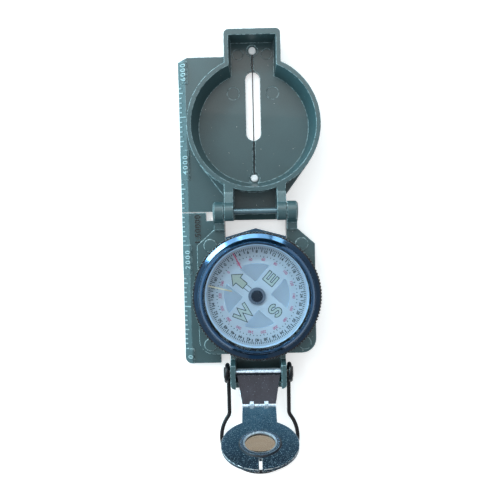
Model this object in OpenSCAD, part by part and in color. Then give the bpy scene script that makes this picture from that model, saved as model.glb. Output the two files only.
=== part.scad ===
// Lensatic compass: a folding case with a side ruler, a liquid capsule under a turning bezel,
// a slotted lid with a sighting wire, a folding lens bracket and a wire thumb loop.
// The dial axis is the Z axis, the case rests on z = 0 and the open lid lies toward +Y.

/* [Clearances] */
// Gap between pieces that move past each other
part_gap = 0.3; // [0.2:0.05:0.4]
// Radial play of a piece that turns on a pin
run_gap = 0.05; // [0.03:0.01:0.1]
// Radial play of a piece that sits in a seat
seat_gap = 0.02; // [0.01:0.01:0.04]
// Height left between the knurl and the rim of the closed lid
lid_gap = 1; // [0.6:0.1:1.6]

/* [Case] */
// Distance from the dial axis to the lid hinge axis
hinge_y = 35; // [34:0.5:37]
// Half of the width of the case block
block_half = 24.5; // [23.6:0.1:25]
// Distance from the dial axis to the front edge of the case block
block_front = 24.6; // [24:0.2:25.4]
// Height of the case block
block_h = 7.6; // [7:0.1:8.4]
// Radius of the two front corners of the block
block_corner = 6; // [3:0.5:8]
// Distance from the dial axis to where the sides turn into the slanted shoulders
shoulder_y = 21.2; // [18:0.2:23]
// Distance from the dial axis to where the slanted shoulders meet the hinge arms
shoulder_top = 27.8; // [27:0.2:29]
// Thickness of the floor under the capsule
floor_t = 1.5; // [1:0.1:2]
// Thickness of the round wall that carries the bezel
turret_t = 1.65; // [1.4:0.05:2]
// Radius of the four round pads on the block
boss_r = 2.6; // [2:0.1:3]
// Height of the round pads
boss_rise = 0.35; // [0.2:0.05:0.4]
// Distance from the index washer to the bosses
boss_room = 0.4; // [0.3:0.1:0.8]
// Angle from the X axis to the round pads beside the hinge
boss_deg = 48; // [46:1:50]
// Angle from the X axis to the round pads beside the tray
boss_low_deg = 46; // [44:1:48]

/* [Ruler] */
// Distance from the dial axis to the ruler edge
ruler_x = 31.2; // [30.5:0.1:34]
// Length of the ruler on each half, from the hinge axis
ruler_l = 64.5; // [62:0.5:66]
// Width of the cut corner at the end of the lid ruler
corner_w = 4.2; // [2:0.1:5]
// Length of that cut corner
corner_l = 1.6; // [1:0.1:3]
// Thickness of the ruler flange
flange_t = 2.6; // [2.2:0.1:3.2]
// Width of the bevel along the ruler edge
bevel_w = 3; // [2:0.1:3.6]
// Thickness left at the ruler edge
edge_t = 1; // [0.6:0.1:1.4]
// Length on the ruler of one kilometre on the map
km_l = 20; // [16:1:24]
// Length of the raised pads that carry the numbers
pad_l = 12.5; // [8:0.5:14]
// Reach of the pad of the zero above the zero of the ruler
zero_reach = 1.8; // [0:0.2:3]
// Width of the raised pads
pad_w = 3.9; // [3.7:0.1:4.5]
// Height of the pads above the bevel
pad_rise = 0.35; // [0.2:0.05:0.6]
// Distance from the dial axis to the inner end of the case flange
flange_in = 15.8; // [15.6:0.2:18]
// Radius of the lower corner of the case flange
flange_corner = 2.5; // [1:0.5:4]
// Width of the notch between the case flange and the hinge arm
notch_w = 3.8; // [3:0.1:6]
// Depth of that notch
notch_d = 3.4; // [2:0.1:4]

/* [Lid hinge] */
// Radius of the hinge pin
pin_r = 1.15; // [0.9:0.05:1.4]
// Outer radius of the hinge knuckles
knuckle_r = 3.9; // [3.4:0.1:4.2]
// Width of a knuckle on the case
knuckle_w = 4.3; // [3.4:0.1:5]
// Distance from the middle to the inner face of the lid ears
ear_in = 8.8; // [7.5:0.1:9.5]
// Width of a lid ear
ear_w = 3.7; // [3:0.1:4]
// Chamfer on the outer ends of the knuckles
knuckle_ch = 0.7; // [0.3:0.1:1.2]
// Height of the raised block in front of each knuckle
arm_rise = 2.6; // [1.5:0.1:3]
// Length of the flat top of that raised block
arm_pad_l = 2.4; // [1.5:0.1:2.8]
// Distance from the hinge axis to where the back of an ear reaches the rim
ear_fall = 7.8; // [7:0.1:9]

/* [Lid] */
// Outer radius of the round dish
dish_r = 27; // [26.4:0.1:27.4]
// Inner radius of the dish at the rim
dish_in = 25.2; // [24.6:0.05:25.4]
// Inner radius of the dish at its floor
dish_floor_r = 23.1; // [22:0.1:24]
// Depth of the lid rim below the hinge axis
rim_drop = 0.2; // [0.1:0.05:0.4]
// Thickness of the lid floor
lid_floor = 2; // [1.5:0.1:2.6]
// Chamfer round the outer edge of the dish
dish_ch = 0.8; // [0.3:0.1:1.2]
// Thickness of the side walls of the tab
tab_wall = 1.85; // [1.2:0.05:2]
// Thickness of the end wall of the tab
tab_end_t = 2.4; // [1.5:0.1:3]
// Draft of the side walls of the tab
tab_draft = 0.5; // [0:0.1:0.8]
// Room between the closed tab and the lens knuckle
tab_room = 1.2; // [0.8:0.1:2]
// Radius of the outer corners of the tab
tab_corner = 2; // [1:0.2:3]
// Thickness of the neck between the dish and the hinge
neck_t = 4; // [3:0.1:5]
// Half of the width of the neck where it meets the dish
neck_half = 22.8; // [20:0.2:23.6]
// Reach of the neck along the dish, from the hinge axis
neck_l = 20; // [19:0.2:23]
// Distance from the hinge axis to where the neck starts to widen
neck_root = 6; // [5:0.1:8]
// Distance by which the lid floor passes the hinge axis
heel_l = 3.6; // [2:0.1:3.8]
// Thickness of the lid floor at its heel
heel_t = 1.4; // [1:0.1:2]
// Distance from the hinge axis to the top of the slope at the heel
heel_step = 1.2; // [0.6:0.1:1.6]
// Width of the sight slot
slot_w = 6.1; // [5:0.1:7]
// Distance from the hinge axis to the near end of the slot
slot_near = 29.7; // [27:0.5:32]
// Distance from the hinge axis to the far end of the slot
slot_far = 58.4; // [54:0.5:60]
// Diameter of the sighting wire
wire_d = 0.5; // [0.3:0.05:0.7]
// Distance from the hinge axis to the near wire plug
plug_near = 13.95; // [13.7:0.05:15]
// Distance from the hinge axis to the far wire plug
plug_far = 66.9; // [65:0.1:67.2]
// Diameter of a wire plug
plug_d = 2.9; // [2.2:0.1:3.2]
// Height by which a plug stands above the lid floor
plug_rise = 0.6; // [0.3:0.1:1]
// Width of the sunk ring round a plug
plug_ring = 0.9; // [0.4:0.1:1.1]
// Depth of the sunk rings and of the wire groove
groove_d = 0.8; // [0.6:0.05:1]
// Depth of the four round marks on the lid floor
mark_d = 0.15; // [0.1:0.05:0.3]
// Radius of the two far marks
mark_far_r = 2.2; // [1.6:0.1:2.6]
// Distance from the middle to a far mark
mark_far_x = 6; // [5.4:0.1:6.6]
// Distance from the far plug back to the far marks
mark_far_l = 1.4; // [0:0.1:3]
// Radius of the two near marks
mark_near_r = 2.6; // [2:0.1:3]
// Distance from the middle to a near mark
mark_near_x = 8.2; // [7.4:0.1:10]
// Distance from the far end of the slot back to the near marks
mark_near_l = 9; // [6:0.5:14]

/* [Capsule] */
// Radius of the dial card
dial_r = 21; // [20:0.1:21.4]
// Play round the edge of the dial card
dial_play = 0.5; // [0.4:0.05:0.8]
// Wall of the capsule cup
cup_wall = 1.1; // [0.9:0.05:1.4]
// Floor of the capsule cup
cup_floor = 1.2; // [0.8:0.1:1.6]
// Height of the capsule cup
cup_h = 9.5; // [9.2:0.1:9.6]
// Thickness of the capsule seal
seal_t = 0.3; // [0.2:0.05:0.5]
// Thickness of the capsule cover
cover_t = 1.1; // [0.8:0.1:1.4]
// Radius of the pivot pin
needle_r = 0.55; // [0.4:0.05:0.6]
// Length of the point of the pivot pin
needle_tip = 0.9; // [0.5:0.1:1.2]
// Radius of the foot of the pivot pin
needle_foot_r = 1.6; // [1.2:0.1:2.4]
// Height of the foot of the pivot pin
needle_foot_h = 1.4; // [1:0.1:2]

/* [Dial] */
// Depth of the dial face below the rim of the cup
dial_drop = 1.3; // [1.25:0.05:1.6]
// Thickness of the dial card
dial_t = 0.5; // [0.3:0.05:0.7]
// Outer radius of the four windows
window_r = 13.6; // [12:0.1:15]
// Width of the four spokes
spoke_w = 8.2; // [7:0.1:10]
// Direction of north on the dial at rest, from +X
north_deg = 139; // [0:1:359]
// Length of the magnet bar
magnet_l = 25; // [18:1:30]
// Width of the magnet bar
magnet_w = 6; // [4.5:0.1:6.8]
// Thickness of the magnet bar
magnet_t = 1.6; // [1:0.1:2]
// Radius of the flange of the hub
hub_r = 3.6; // [3:0.1:4]
// Radius of the stem of the hub
hub_stem_r = 1.6; // [1.4:0.05:2]
// Thickness of the flange of the hub
hub_t = 0.6; // [0.4:0.05:0.7]
// Radius of the hub cap
cap_r = 2.45; // [2:0.05:2.8]
// Thickness of the hub cap
cap_t = 0.4; // [0.2:0.05:0.4]
// Radius of the jewel
jewel_r = 0.85; // [0.75:0.05:1]
// Thickness of the jewel
jewel_t = 0.6; // [0.4:0.05:0.8]

/* [Bezel] */
// Thickness of the knurled band, from the case wall to the top of the teeth
knurl_t = 2.33; // [2:0.01:2.6]
// Depth of the knurl
knurl_d = 0.4; // [0.2:0.05:0.5]
// Number of teeth on the knurl
knurl_n = 120; // [60:10:140]
// Share of the pitch of the knurl taken by the root
knurl_root = 0.22; // [0.1:0.02:0.3]
// Share of the pitch of the knurl taken by one flank
knurl_flank = 0.2; // [0.1:0.02:0.3]
// Height of the knurled band
knurl_h = 3.5; // [3.2:0.1:4]
// Thickness of the cone round the crystal where it leaves the knurl
cone_t = 1.56; // [1.4:0.02:1.7]
// Rise of the shoulder from the knurl to the cone
shoulder_rise = 0.9; // [0.3:0.1:1.4]
// Thickness of the cone round the crystal at the top
cone_top_t = 0.56; // [0.5:0.02:0.9]
// Overlap of the top lip on the crystal
lip_w = 0.65; // [0.4:0.05:0.9]
// Thickness of the top lip
lip_t = 0.5; // [0.4:0.05:0.8]
// Thickness of the bezel crystal
crystal_t = 1.2; // [0.8:0.1:1.6]
// Space between the capsule cover and the bezel crystal
crystal_gap = 0.8; // [0.6:0.05:1]
// Thickness of the crystal gasket
gasket_t = 0.25; // [0.15:0.05:0.4]
// Thickness of the index washer
washer_t = 0.6; // [0.4:0.05:0.8]
// Width of the index washer
washer_w = 1.1; // [0.8:0.05:1.3]
// Reach of the pointed nose of the index washer
nose_reach = 28; // [27.4:0.1:28.6]
// Half of the width of the nose at its shoulders
nose_half = 12.5; // [8:0.1:12.6]
// Distance by which the nose falls from its tip to its shoulders
nose_fall = 3.5; // [2.8:0.1:4]
// Diameter of the retaining wire
retainer_d = 0.8; // [0.5:0.05:0.9]
// Opening in the retaining wire, in degrees
retainer_open = 20; // [10:2:40]
// Thickness of the two lines under the crystal
line_t = 0.15; // [0.1:0.01:0.2]
// Distance from the lip of the bezel to the two lines
line_edge = 1.5; // [0.5:0.1:3]
// Length of the luminous bearing line
bearing_l = 9.9; // [6:0.1:12]
// Width of the luminous bearing line
bearing_w = 0.6; // [0.5:0.1:1.4]
// Direction of the bearing line, from +X
bearing_deg = 166; // [150:1:180]
// Length of the red line
red_l = 7.1; // [4:0.1:10]
// Width of the red line
red_w = 0.4; // [0.3:0.1:1]
// Direction of the red line, from +X
red_deg = 117.5; // [100:0.5:140]

/* [Lens bracket] */
// Distance from the dial axis to the bracket pivot
pivot_reach = 32.3; // [31.8:0.1:33.4]
// Height of the bracket pivot
pivot_z = 8.5; // [8:0.1:9]
// Thickness of the bracket plate
plate_t = 1.1; // [0.8:0.05:1.3]
// Length of the first plate, from the pivot to the bend
plate_l = 14; // [13:0.2:15]
// Width of the bracket at the pivot
plate_w = 18.4; // [16:0.2:19]
// Width of the bracket at the bend and along its neck
neck_w = 13.8; // [12:0.2:14.6]
// Rise of the first plate, in degrees
plate_deg = 20; // [14:1:24]
// Rise of the lens plate, in degrees
disc_deg = 75; // [72:1:78]
// Inner radius of the bend
bend_r = 1.6; // [0.6:0.1:2]
// Distance from the bend to the middle of the lens
disc_reach = 24.3; // [23:0.1:25]
// Radius of the round end
disc_r = 14.5; // [14.2:0.05:14.8]
// Radius of the bracket pin
lens_pin_r = 0.8; // [0.6:0.05:0.9]
// Outer radius of the rolled knuckle
roll_r = 1.7; // [1.5:0.05:1.9]
// Step from the top of the rolled knuckle down to the plate
curl_step = 0.6; // [0.2:0.1:0.8]
// Width of the slit in the round end
slit_w = 1.1; // [0.8:0.1:1.6]
// Length of the slit
slit_l = 5.8; // [4:0.2:6]
// Width of the two pressed ribs across the bend
rib_w = 1.5; // [1:0.1:2]
// Leg of a pressed rib
rib_leg = 2.2; // [1.6:0.1:2.6]
// Distance from the middle to a pressed rib
rib_x = 3; // [2:0.1:5]
// Radius of the clear lens
lens_r = 5.95; // [5:0.05:6.3]
// Thickness of the lens in the middle
lens_t = 2.2; // [2:0.1:2.6]
// Radius of curvature of the lens faces
lens_curve = 20; // [18:1:30]
// Wall of the eyelet in the plate
eyelet_wall = 0.35; // [0.25:0.05:0.5]
// Width of the rolled flange of the eyelet
eyelet_flange = 1.7; // [0.8:0.05:1.9]
// Height of the rolled flange of the eyelet
eyelet_rise = 0.6; // [0.4:0.05:0.7]
// Overlap of the eyelet flange on the lens
eyelet_lip = 0.25; // [0.15:0.05:0.4]

/* [Lens tray] */
// Thickness of the side walls of the tray
tray_wall = 2.1; // [1.6:0.1:2.6]
// Thickness of the end wall of the tray
tray_end_t = 2.1; // [1.6:0.1:2.6]
// Distance from the pivot to the outer end of the tray
tray_over = 6.1; // [5.8:0.1:7.5]
// Radius of the outer corners of the tray
tray_corner = 1.8; // [1:0.1:2.4]
// Distance of the wall tops below the parting line
tray_drop = 0.7; // [0.5:0.1:1.2]

/* [Thumb loop] */
// Diameter of the loop wire
loop_d = 1.7; // [1.4:0.1:2]
// Radius of the stud inside each eye
stud_r = 2.3; // [2:0.1:2.6]
// Play between a stud and its eye
eye_play = 0.2; // [0.15:0.05:0.3]
// Turn of the wire round the stud, in degrees
eye_turn = 290; // [270:5:300]
// Sideways run of the wire on its way round the stud
eye_shift = 0.85; // [0.8:0.05:1.2]
// Radius of the bend between an arm and the ring
loop_bend = 4; // [2.5:0.5:6]
// Radius of the ring, at the middle of the wire
loop_r = 16.4; // [15.8:0.1:17]
// Distance from the pivot to the middle of the ring
loop_reach = 30.2; // [29:0.2:31]
// Height of the wire above the table at the end of the ring
loop_lift = 0.1; // [0.05:0.05:0.3]

/* [Hidden] */
$fn = 64;
// Steps along the corners, the eyes, the bends and the ring, and sides of the loop wire
corner_steps = 8;
eye_steps = 22;
bend_steps = 5;
ring_steps = 36;
wire_sides = 10;
lens_facets = 240;

grey_green = [0.33, 0.41, 0.38];
steel = [0.62, 0.64, 0.66];
black = [0.08, 0.08, 0.09];
anodised = [0.10, 0.13, 0.18];
clear = [0.75, 0.85, 0.90, 0.4];
ivory = [0.88, 0.89, 0.92];

// A little extra length, so that a cut passes clean through a face
cut = 1;

// Radii of the stack from the dial outward
cup_in = dial_r + dial_play;
cup_r = cup_in + cup_wall;
turret_in = cup_r + seat_gap;
turret_r = turret_in + turret_t;
bezel_in = turret_r + run_gap;
knurl_r = bezel_in + knurl_t;
cover_r = cup_r - 2 * seat_gap;
skirt_in = cover_r + part_gap;
crystal_r = cover_r - seat_gap;
lip_in = crystal_r - lip_w;
cone_r = crystal_r + cone_t;
cone_top_r = crystal_r + cone_top_t;
washer_r = turret_r + seat_gap + washer_w;
plinth_r = washer_r + part_gap;
boss_reach = washer_r + boss_room + boss_r;

// Heights of the stack from the table upward
cup_top = floor_t + cup_h;
cover_z = cup_top + seal_t;
cover_top = cover_z + cover_t;
bezel_z = block_h + washer_t + part_gap;
knurl_top = bezel_z + knurl_h;
shelf_z = cup_top + part_gap;
crystal_z = cover_top + crystal_gap;
crystal_top = crystal_z + crystal_t;
gasket_top = crystal_top + gasket_t;
bezel_top = gasket_top + lip_t;
retainer_z = (bezel_z + shelf_z) / 2;
hinge_z = knurl_top + lid_gap;
rim_z = hinge_z - rim_drop;

// Hinge between the case and the lid
ear_out = ear_in + ear_w;
arm_in = ear_out + part_gap;
arm_out = arm_in + knuckle_w;
arm_end = hinge_y - 2 * part_gap;
dish_y = 2 * hinge_y;
pin_half = arm_out - 2 * knuckle_ch;
// Lift of the heel that keeps it off the table while the lid swings
heel_lift = hinge_z - sqrt(hinge_z ^ 2 - heel_l ^ 2);

// Bracket, tray and tab, from the pivot outward
pivot_y = -pivot_reach;
tray_in = plate_w / 2 + part_gap;
tray_out = tray_in + tray_wall;
tray_y = pivot_y - tray_over;
tray_top = hinge_z - tray_drop;
tab_in = plate_w / 2 + part_gap;
tab_out = tab_in + tab_wall;
tab_inner = hinge_y + pivot_reach + roll_r + tab_room;
tab_l = tab_inner + tab_end_t;
plate_top = roll_r - curl_step;
mid_offset = plate_top - plate_t / 2;
bend_deg = disc_deg - plate_deg;
bend_mid = bend_r + plate_t / 2;
bend_trim = bend_mid * tan(bend_deg / 2);
stop_y = tray_over - tray_end_t;
stop_z = pivot_z + stop_y * tan(plate_deg) + (plate_top - plate_t) / cos(plate_deg) - part_gap;
eyelet_r = lens_r + seat_gap + eyelet_wall;
eyelet_out = eyelet_r + eyelet_flange;

// Thumb loop
wire_r = loop_d / 2;
eye_r = stud_r + eye_play + wire_r;
eye_x = tray_out + part_gap + wire_r;
stud_out = eye_x + eye_shift + wire_r;
loop_bend_y = loop_reach - sqrt((loop_r + loop_bend) ^ 2 - (eye_x + loop_bend) ^ 2);
loop_bend_deg = acos((eye_x + loop_bend) / (loop_r + loop_bend));
loop_end = loop_reach + loop_r;
loop_droop = asin((pivot_z - wire_r - loop_lift) / norm([loop_end, eye_r])) - atan(eye_r / loop_end);

// Points of an arc round a centre
function arc(c, r, from, to, n) =
    [for (i = [0:n]) c + r * [cos(from + (to - from) * i / n), sin(from + (to - from) * i / n)]];

// Extrudes a profile drawn in Y and Z along X, between two values of X
module along_x(x0, x1) {
    translate([x0, 0, 0]) rotate([90, 0, 90]) linear_extrude(x1 - x0) children();
}

// Extrudes a profile drawn in X and Z along Y, between two values of Y
module along_y(y0, y1) {
    translate([0, y1, 0]) rotate([90, 0, 0]) linear_extrude(y1 - y0) children();
}

// A round bar along X, between two values of X, on an axis at y and z
module bar_x(x0, x1, y, z, r) {
    translate([x0, y, z]) rotate([0, 90, 0]) cylinder(r = r, h = x1 - x0);
}

// A flat ring between two radii
module ring(r_in, r_out, z0, h) {
    translate([0, 0, z0]) rotate_extrude() translate([r_in, 0]) square([r_out - r_in, h]);
}

// The wedge that is cut from a flange to make the ruler bevel
module bevel_wedge(y0, y1) {
    along_y(y0, y1) polygon([
        [-ruler_x - cut, edge_t - cut * (flange_t - edge_t) / bevel_w],
        [-ruler_x + bevel_w, flange_t],
        [-ruler_x + bevel_w, flange_t + cut],
        [-ruler_x - cut, flange_t + cut],
    ]);
}

// A raised pad on the bevel, which carries one number of the ruler
module number_pad(y0, y1) {
    along_y(y0, y1) polygon([
        [-ruler_x, 0],
        [-ruler_x + pad_w, 0],
        [-ruler_x + pad_w, flange_t + pad_rise],
        [-ruler_x + bevel_w, flange_t + pad_rise],
        [-ruler_x, edge_t + pad_rise],
    ]);
}

// Plan of the case block, without the hinge arms
module block_plan() {
    corner = [block_half - block_corner, -block_front + block_corner];
    right = concat(
        arc(corner, block_corner, -90, 0, corner_steps),
        [[block_half, shoulder_y], [arm_out, shoulder_top], [arm_in, shoulder_top], [arm_in, 0]]
    );
    left = [for (i = [len(right) - 1:-1:0]) [-right[i].x, right[i].y]];
    polygon(concat(right, left));
}

// Plan of the ruler flange of the case
module case_flange_plan() {
    low = hinge_y - ruler_l;
    top = hinge_y - part_gap / 2;
    polygon(concat(
        arc([-ruler_x + flange_corner, low + flange_corner], flange_corner, 180, 270, corner_steps),
        [
            [-flange_in, low],
            [-flange_in, 0],
            [-arm_in, 0],
            [-arm_in, top - notch_d],
            [-arm_out - notch_w, top - notch_d],
            [-arm_out - notch_w, top],
            [-ruler_x, top],
        ]
    ));
}

// One hinge arm of the case, on the side given by the sign, with its bored knuckle
module hinge_arm(side) {
    x0 = side > 0 ? arm_in : -arm_out;
    pad_end = shoulder_top + arm_pad_l;
    along_x(x0, x0 + knuckle_w) polygon([
        [shoulder_y, 0],
        [arm_end, 0],
        [arm_end, hinge_z],
        [hinge_y - knuckle_r + part_gap, hinge_z],
        [pad_end, block_h + arm_rise],
        [shoulder_top - part_gap, block_h + arm_rise],
        [shoulder_top - 2 * part_gap, block_h],
        [shoulder_y, block_h],
    ]);
    end_x = side * (arm_out - knuckle_ch);
    bar_x(min(side * arm_in, end_x), max(side * arm_in, end_x), hinge_y, hinge_z, knuckle_r);
    translate([end_x, hinge_y, hinge_z]) rotate([0, side * 90, 0])
        cylinder(r1 = knuckle_r, r2 = knuckle_r - knuckle_ch, h = knuckle_ch);
}

// The tray below the dial that holds the lens bracket
module lens_tray() {
    plan = concat(
        arc([-tray_out + tray_corner, tray_y + tray_corner], tray_corner, 180, 270, corner_steps),
        arc([tray_out - tray_corner, tray_y + tray_corner], tray_corner, 270, 360, corner_steps),
        [[tray_out, -block_front / 2], [-tray_out, -block_front / 2]]
    );
    ramp_y = -knurl_r - part_gap;
    difference() {
        linear_extrude(tray_top) polygon(plan);
        translate([-tray_in, tray_y + tray_end_t, floor_t])
            cube([2 * tray_in, tray_over + pivot_reach, tray_top]);
        translate([-tray_in, tray_y - cut, stop_z]) cube([2 * tray_in, 2 * tray_end_t + cut, tray_top]);
        along_x(-tray_out - cut, tray_out + cut) polygon([
            [0, block_h],
            [ramp_y, block_h],
            [ramp_y - tray_corner, tray_top + part_gap],
            [0, tray_top + part_gap],
        ]);
    }
}

module base_case() {
    color(grey_green) difference() {
        union() {
            difference() {
                union() {
                    linear_extrude(block_h) block_plan();
                    linear_extrude(flange_t) case_flange_plan();
                    cylinder(r = plinth_r, h = block_h);
                    lens_tray();
                }
                bevel_wedge(hinge_y - ruler_l - cut, hinge_y + cut);
            }
            number_pad(hinge_y - km_l - pad_l / 2, hinge_y - km_l + pad_l / 2);
            intersection() {
                number_pad(hinge_y - ruler_l, hinge_y - 3 * km_l + zero_reach);
                linear_extrude(flange_t + cut) case_flange_plan();
            }
            cylinder(r = turret_r, h = cup_top);
            for (side = [-1, 1]) hinge_arm(side);
            for (a = [boss_deg, 180 - boss_deg, 180 + boss_low_deg, 360 - boss_low_deg])
                rotate([0, 0, a]) translate([boss_reach, 0, 0]) cylinder(r = boss_r, h = block_h + boss_rise);
        }
        translate([0, 0, floor_t]) cylinder(r = turret_in, h = cup_h + cut);
        translate([0, 0, retainer_z]) rotate_extrude()
            translate([turret_r, 0]) circle(r = retainer_d / 2 + seat_gap);
        bar_x(-pin_half - seat_gap, pin_half + seat_gap, hinge_y, hinge_z, pin_r + seat_gap);
        bar_x(-tray_out - cut, tray_out + cut, pivot_y, pivot_z, lens_pin_r + seat_gap);
    }
}

module capsule_cup() {
    color([0.55, 0.60, 0.66]) difference() {
        translate([0, 0, floor_t]) cylinder(r = cup_r, h = cup_h);
        translate([0, 0, floor_t + cup_floor]) cylinder(r = cup_in, h = cup_h);
        translate([0, 0, floor_t - cut]) cylinder(r = needle_r + seat_gap, h = cup_floor + 2 * cut);
    }
}

module capsule_seal() {
    color(black) ring(cup_in, cover_r, cup_top, seal_t);
}

module capsule_cover() {
    color(clear) translate([0, 0, cover_z]) cylinder(r = cover_r, h = cover_t);
}

module pivot_pin() {
    tip_z = jewel_z() - needle_play();
    foot_z = floor_t + cup_floor;
    color(steel) rotate_extrude() polygon([
        [0, floor_t],
        [needle_r, floor_t],
        [needle_r, foot_z],
        [needle_foot_r, foot_z],
        [needle_foot_r, foot_z + needle_foot_h / 2],
        [needle_r, foot_z + needle_foot_h],
        [needle_r, tip_z - needle_tip],
        [0, tip_z],
    ]);
}

module index_washer() {
    color(black) translate([0, 0, block_h]) difference() {
        union() {
            cylinder(r = washer_r, h = washer_t);
            linear_extrude(washer_t) polygon([
                [-nose_half, turret_r - nose_fall],
                [nose_half, turret_r - nose_fall],
                [nose_half, nose_reach - nose_fall],
                [0, nose_reach],
                [-nose_half, nose_reach - nose_fall],
            ]);
        }
        translate([0, 0, -cut]) cylinder(r = turret_r + seat_gap, h = washer_t + 2 * cut);
    }
}

module bezel_retainer() {
    color(steel) translate([0, 0, retainer_z]) rotate([0, 0, retainer_open / 2])
        rotate_extrude(angle = 360 - retainer_open) translate([turret_r, 0]) circle(d = retainer_d);
}

module lid_hinge_pin() {
    color(steel) bar_x(-pin_half, pin_half, hinge_y, hinge_z, pin_r);
}

module lens_hinge_pin() {
    color(steel) bar_x(-stud_out, stud_out, pivot_y, pivot_z, lens_pin_r);
}

module loop_studs() {
    color(black) difference() {
        for (side = [-1, 1])
            bar_x(min(side * tray_out, side * stud_out), max(side * tray_out, side * stud_out),
                pivot_y, pivot_z, stud_r);
        bar_x(-stud_out - cut, stud_out + cut, pivot_y, pivot_z, lens_pin_r + seat_gap);
    }
}

// Side view of a lid ear, from the heel past the hinge to the wall of the dish
module ear_profile() {
    polygon([
        [hinge_y - heel_l, 0],
        [hinge_y - heel_l, hinge_z],
        [hinge_y + pin_r, hinge_z + knuckle_r - pin_r],
        [hinge_y + ear_fall, rim_z],
        [hinge_y + ear_fall + knuckle_r, rim_z],
        [hinge_y + ear_fall + knuckle_r, 0],
    ]);
}

// Outer form of the round dish
module dish_body() {
    translate([0, dish_y, 0]) rotate_extrude() polygon([
        [0, 0],
        [dish_r - dish_ch, 0],
        [dish_r, dish_ch],
        [dish_r, rim_z],
        [0, rim_z],
    ]);
}

// Outer form of the tab that covers the lens tray
module tab_body() {
    end_y = hinge_y + tab_l;
    linear_extrude(rim_z) polygon(concat(
        arc([tab_out - tab_corner, end_y - tab_corner], tab_corner, 0, 90, corner_steps),
        arc([-tab_out + tab_corner, end_y - tab_corner], tab_corner, 90, 180, corner_steps),
        [[-tab_out, dish_y], [tab_out, dish_y]]
    ));
}

// Plan of the ruler flange of the lid
module lid_flange_plan() {
    low = hinge_y + part_gap / 2;
    top = hinge_y + ruler_l;
    polygon([
        [-ruler_x, low],
        [-ear_in, low],
        [-ear_in, top],
        [-ruler_x + corner_w, top],
        [-ruler_x, top - corner_l],
    ]);
}

// Plan of the neck between the dish and the hinge
module neck_plan() {
    polygon([
        [-ear_out, hinge_y - heel_l],
        [ear_out, hinge_y - heel_l],
        [ear_out, hinge_y + neck_root],
        [neck_half, hinge_y + neck_l],
        [-neck_half, hinge_y + neck_l],
        [-ear_out, hinge_y + neck_root],
    ]);
}

// Hollow of the dish, of the tab and of the sight slot
module lid_hollow() {
    translate([0, dish_y, lid_floor])
        cylinder(r1 = dish_floor_r, r2 = dish_in, h = rim_z - lid_floor);
    translate([0, dish_y, rim_z]) cylinder(r = dish_in, h = knuckle_r);
    along_y(dish_y, hinge_y + tab_inner) polygon([
        [-tab_in + tab_draft, lid_floor],
        [tab_in - tab_draft, lid_floor],
        [tab_in, rim_z],
        [tab_in, rim_z + cut],
        [-tab_in, rim_z + cut],
        [-tab_in, rim_z],
    ]);
    near = hinge_y + slot_near + slot_w / 2;
    far = hinge_y + slot_far - slot_w / 2;
    for (y = [near, far]) translate([0, y, -cut]) cylinder(d = slot_w, h = lid_floor + 2 * cut);
    translate([-slot_w / 2, near, -cut]) cube([slot_w, far - near, lid_floor + 2 * cut]);
}

// Seats of the wire plugs, with the groove of the wire
module wire_seats() {
    for (l = [plug_near, plug_far]) translate([0, hinge_y + l, 0]) {
        translate([0, 0, lid_floor - groove_d / 2]) cylinder(d = plug_d + 2 * plug_ring, h = groove_d);
        translate([0, 0, lid_floor - groove_d]) cylinder(d = plug_d + 2 * seat_gap, h = 2 * groove_d);
    }
    translate([-wire_d, hinge_y + plug_near, lid_floor - groove_d])
        cube([2 * wire_d, plug_far - plug_near, 2 * groove_d]);
}

// Shallow round marks on the lid floor
module floor_marks() {
    for (side = [-1, 1]) translate([0, hinge_y, lid_floor - mark_d]) {
        translate([side * mark_far_x, plug_far - mark_far_l, 0]) cylinder(r = mark_far_r, h = cut);
        translate([side * mark_near_x, slot_far - mark_near_l, 0]) cylinder(r = mark_near_r, h = cut);
    }
}

module lid_shell() {
    color(grey_green) difference() {
        union() {
            dish_body();
            tab_body();
            difference() {
                linear_extrude(flange_t) lid_flange_plan();
                bevel_wedge(hinge_y - cut, hinge_y + ruler_l + cut);
            }
            number_pad(hinge_y + km_l - pad_l / 2, hinge_y + km_l + pad_l / 2);
            number_pad(hinge_y + 3 * km_l - pad_l / 2, hinge_y + ruler_l - corner_l);
            linear_extrude(neck_t) neck_plan();
            for (x = [-ear_out, ear_in]) {
                along_x(x, x + ear_w) ear_profile();
                bar_x(x, x + ear_w, hinge_y, hinge_z, knuckle_r);
            }
        }
        lid_hollow();
        wire_seats();
        floor_marks();
        along_x(-ear_in, ear_in) polygon([
            [hinge_y - heel_l - cut, heel_t],
            [hinge_y - heel_l, heel_t],
            [hinge_y - heel_step, neck_t],
            [hinge_y - heel_step, neck_t + cut],
            [hinge_y - heel_l - cut, neck_t + cut],
        ]);
        along_x(-ear_out - cut, ear_out + cut) polygon([
            [hinge_y, 0],
            [hinge_y - heel_l, heel_lift],
            [hinge_y - heel_l - cut, heel_lift],
            [hinge_y - heel_l - cut, -cut],
            [hinge_y, -cut],
        ]);
        bar_x(-ear_out - cut, ear_out + cut, hinge_y, hinge_z, pin_r + run_gap);
    }
}

module sight_wire() {
    from = hinge_y + plug_near + plug_d / 2 + seat_gap;
    to = hinge_y + plug_far - plug_d / 2 - seat_gap;
    color(steel) translate([0, from, lid_floor - groove_d + wire_d / 2 + seat_gap])
        rotate([-90, 0, 0]) cylinder(d = wire_d, h = to - from);
}

// A domed plug that holds one end of the sighting wire
module wire_plug(l) {
    r = plug_d / 2;
    h = groove_d + plug_rise;
    translate([0, hinge_y + l, lid_floor - groove_d]) rotate_extrude() polygon([
        [0, 0],
        [r, 0],
        [r, h - plug_rise / 2],
        [r - plug_rise / 2, h],
        [0, h],
    ]);
}

module upper_wire_plug() {
    color("white") wire_plug(plug_far);
}

module lower_wire_plug() {
    color("white") wire_plug(plug_near);
}

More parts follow.
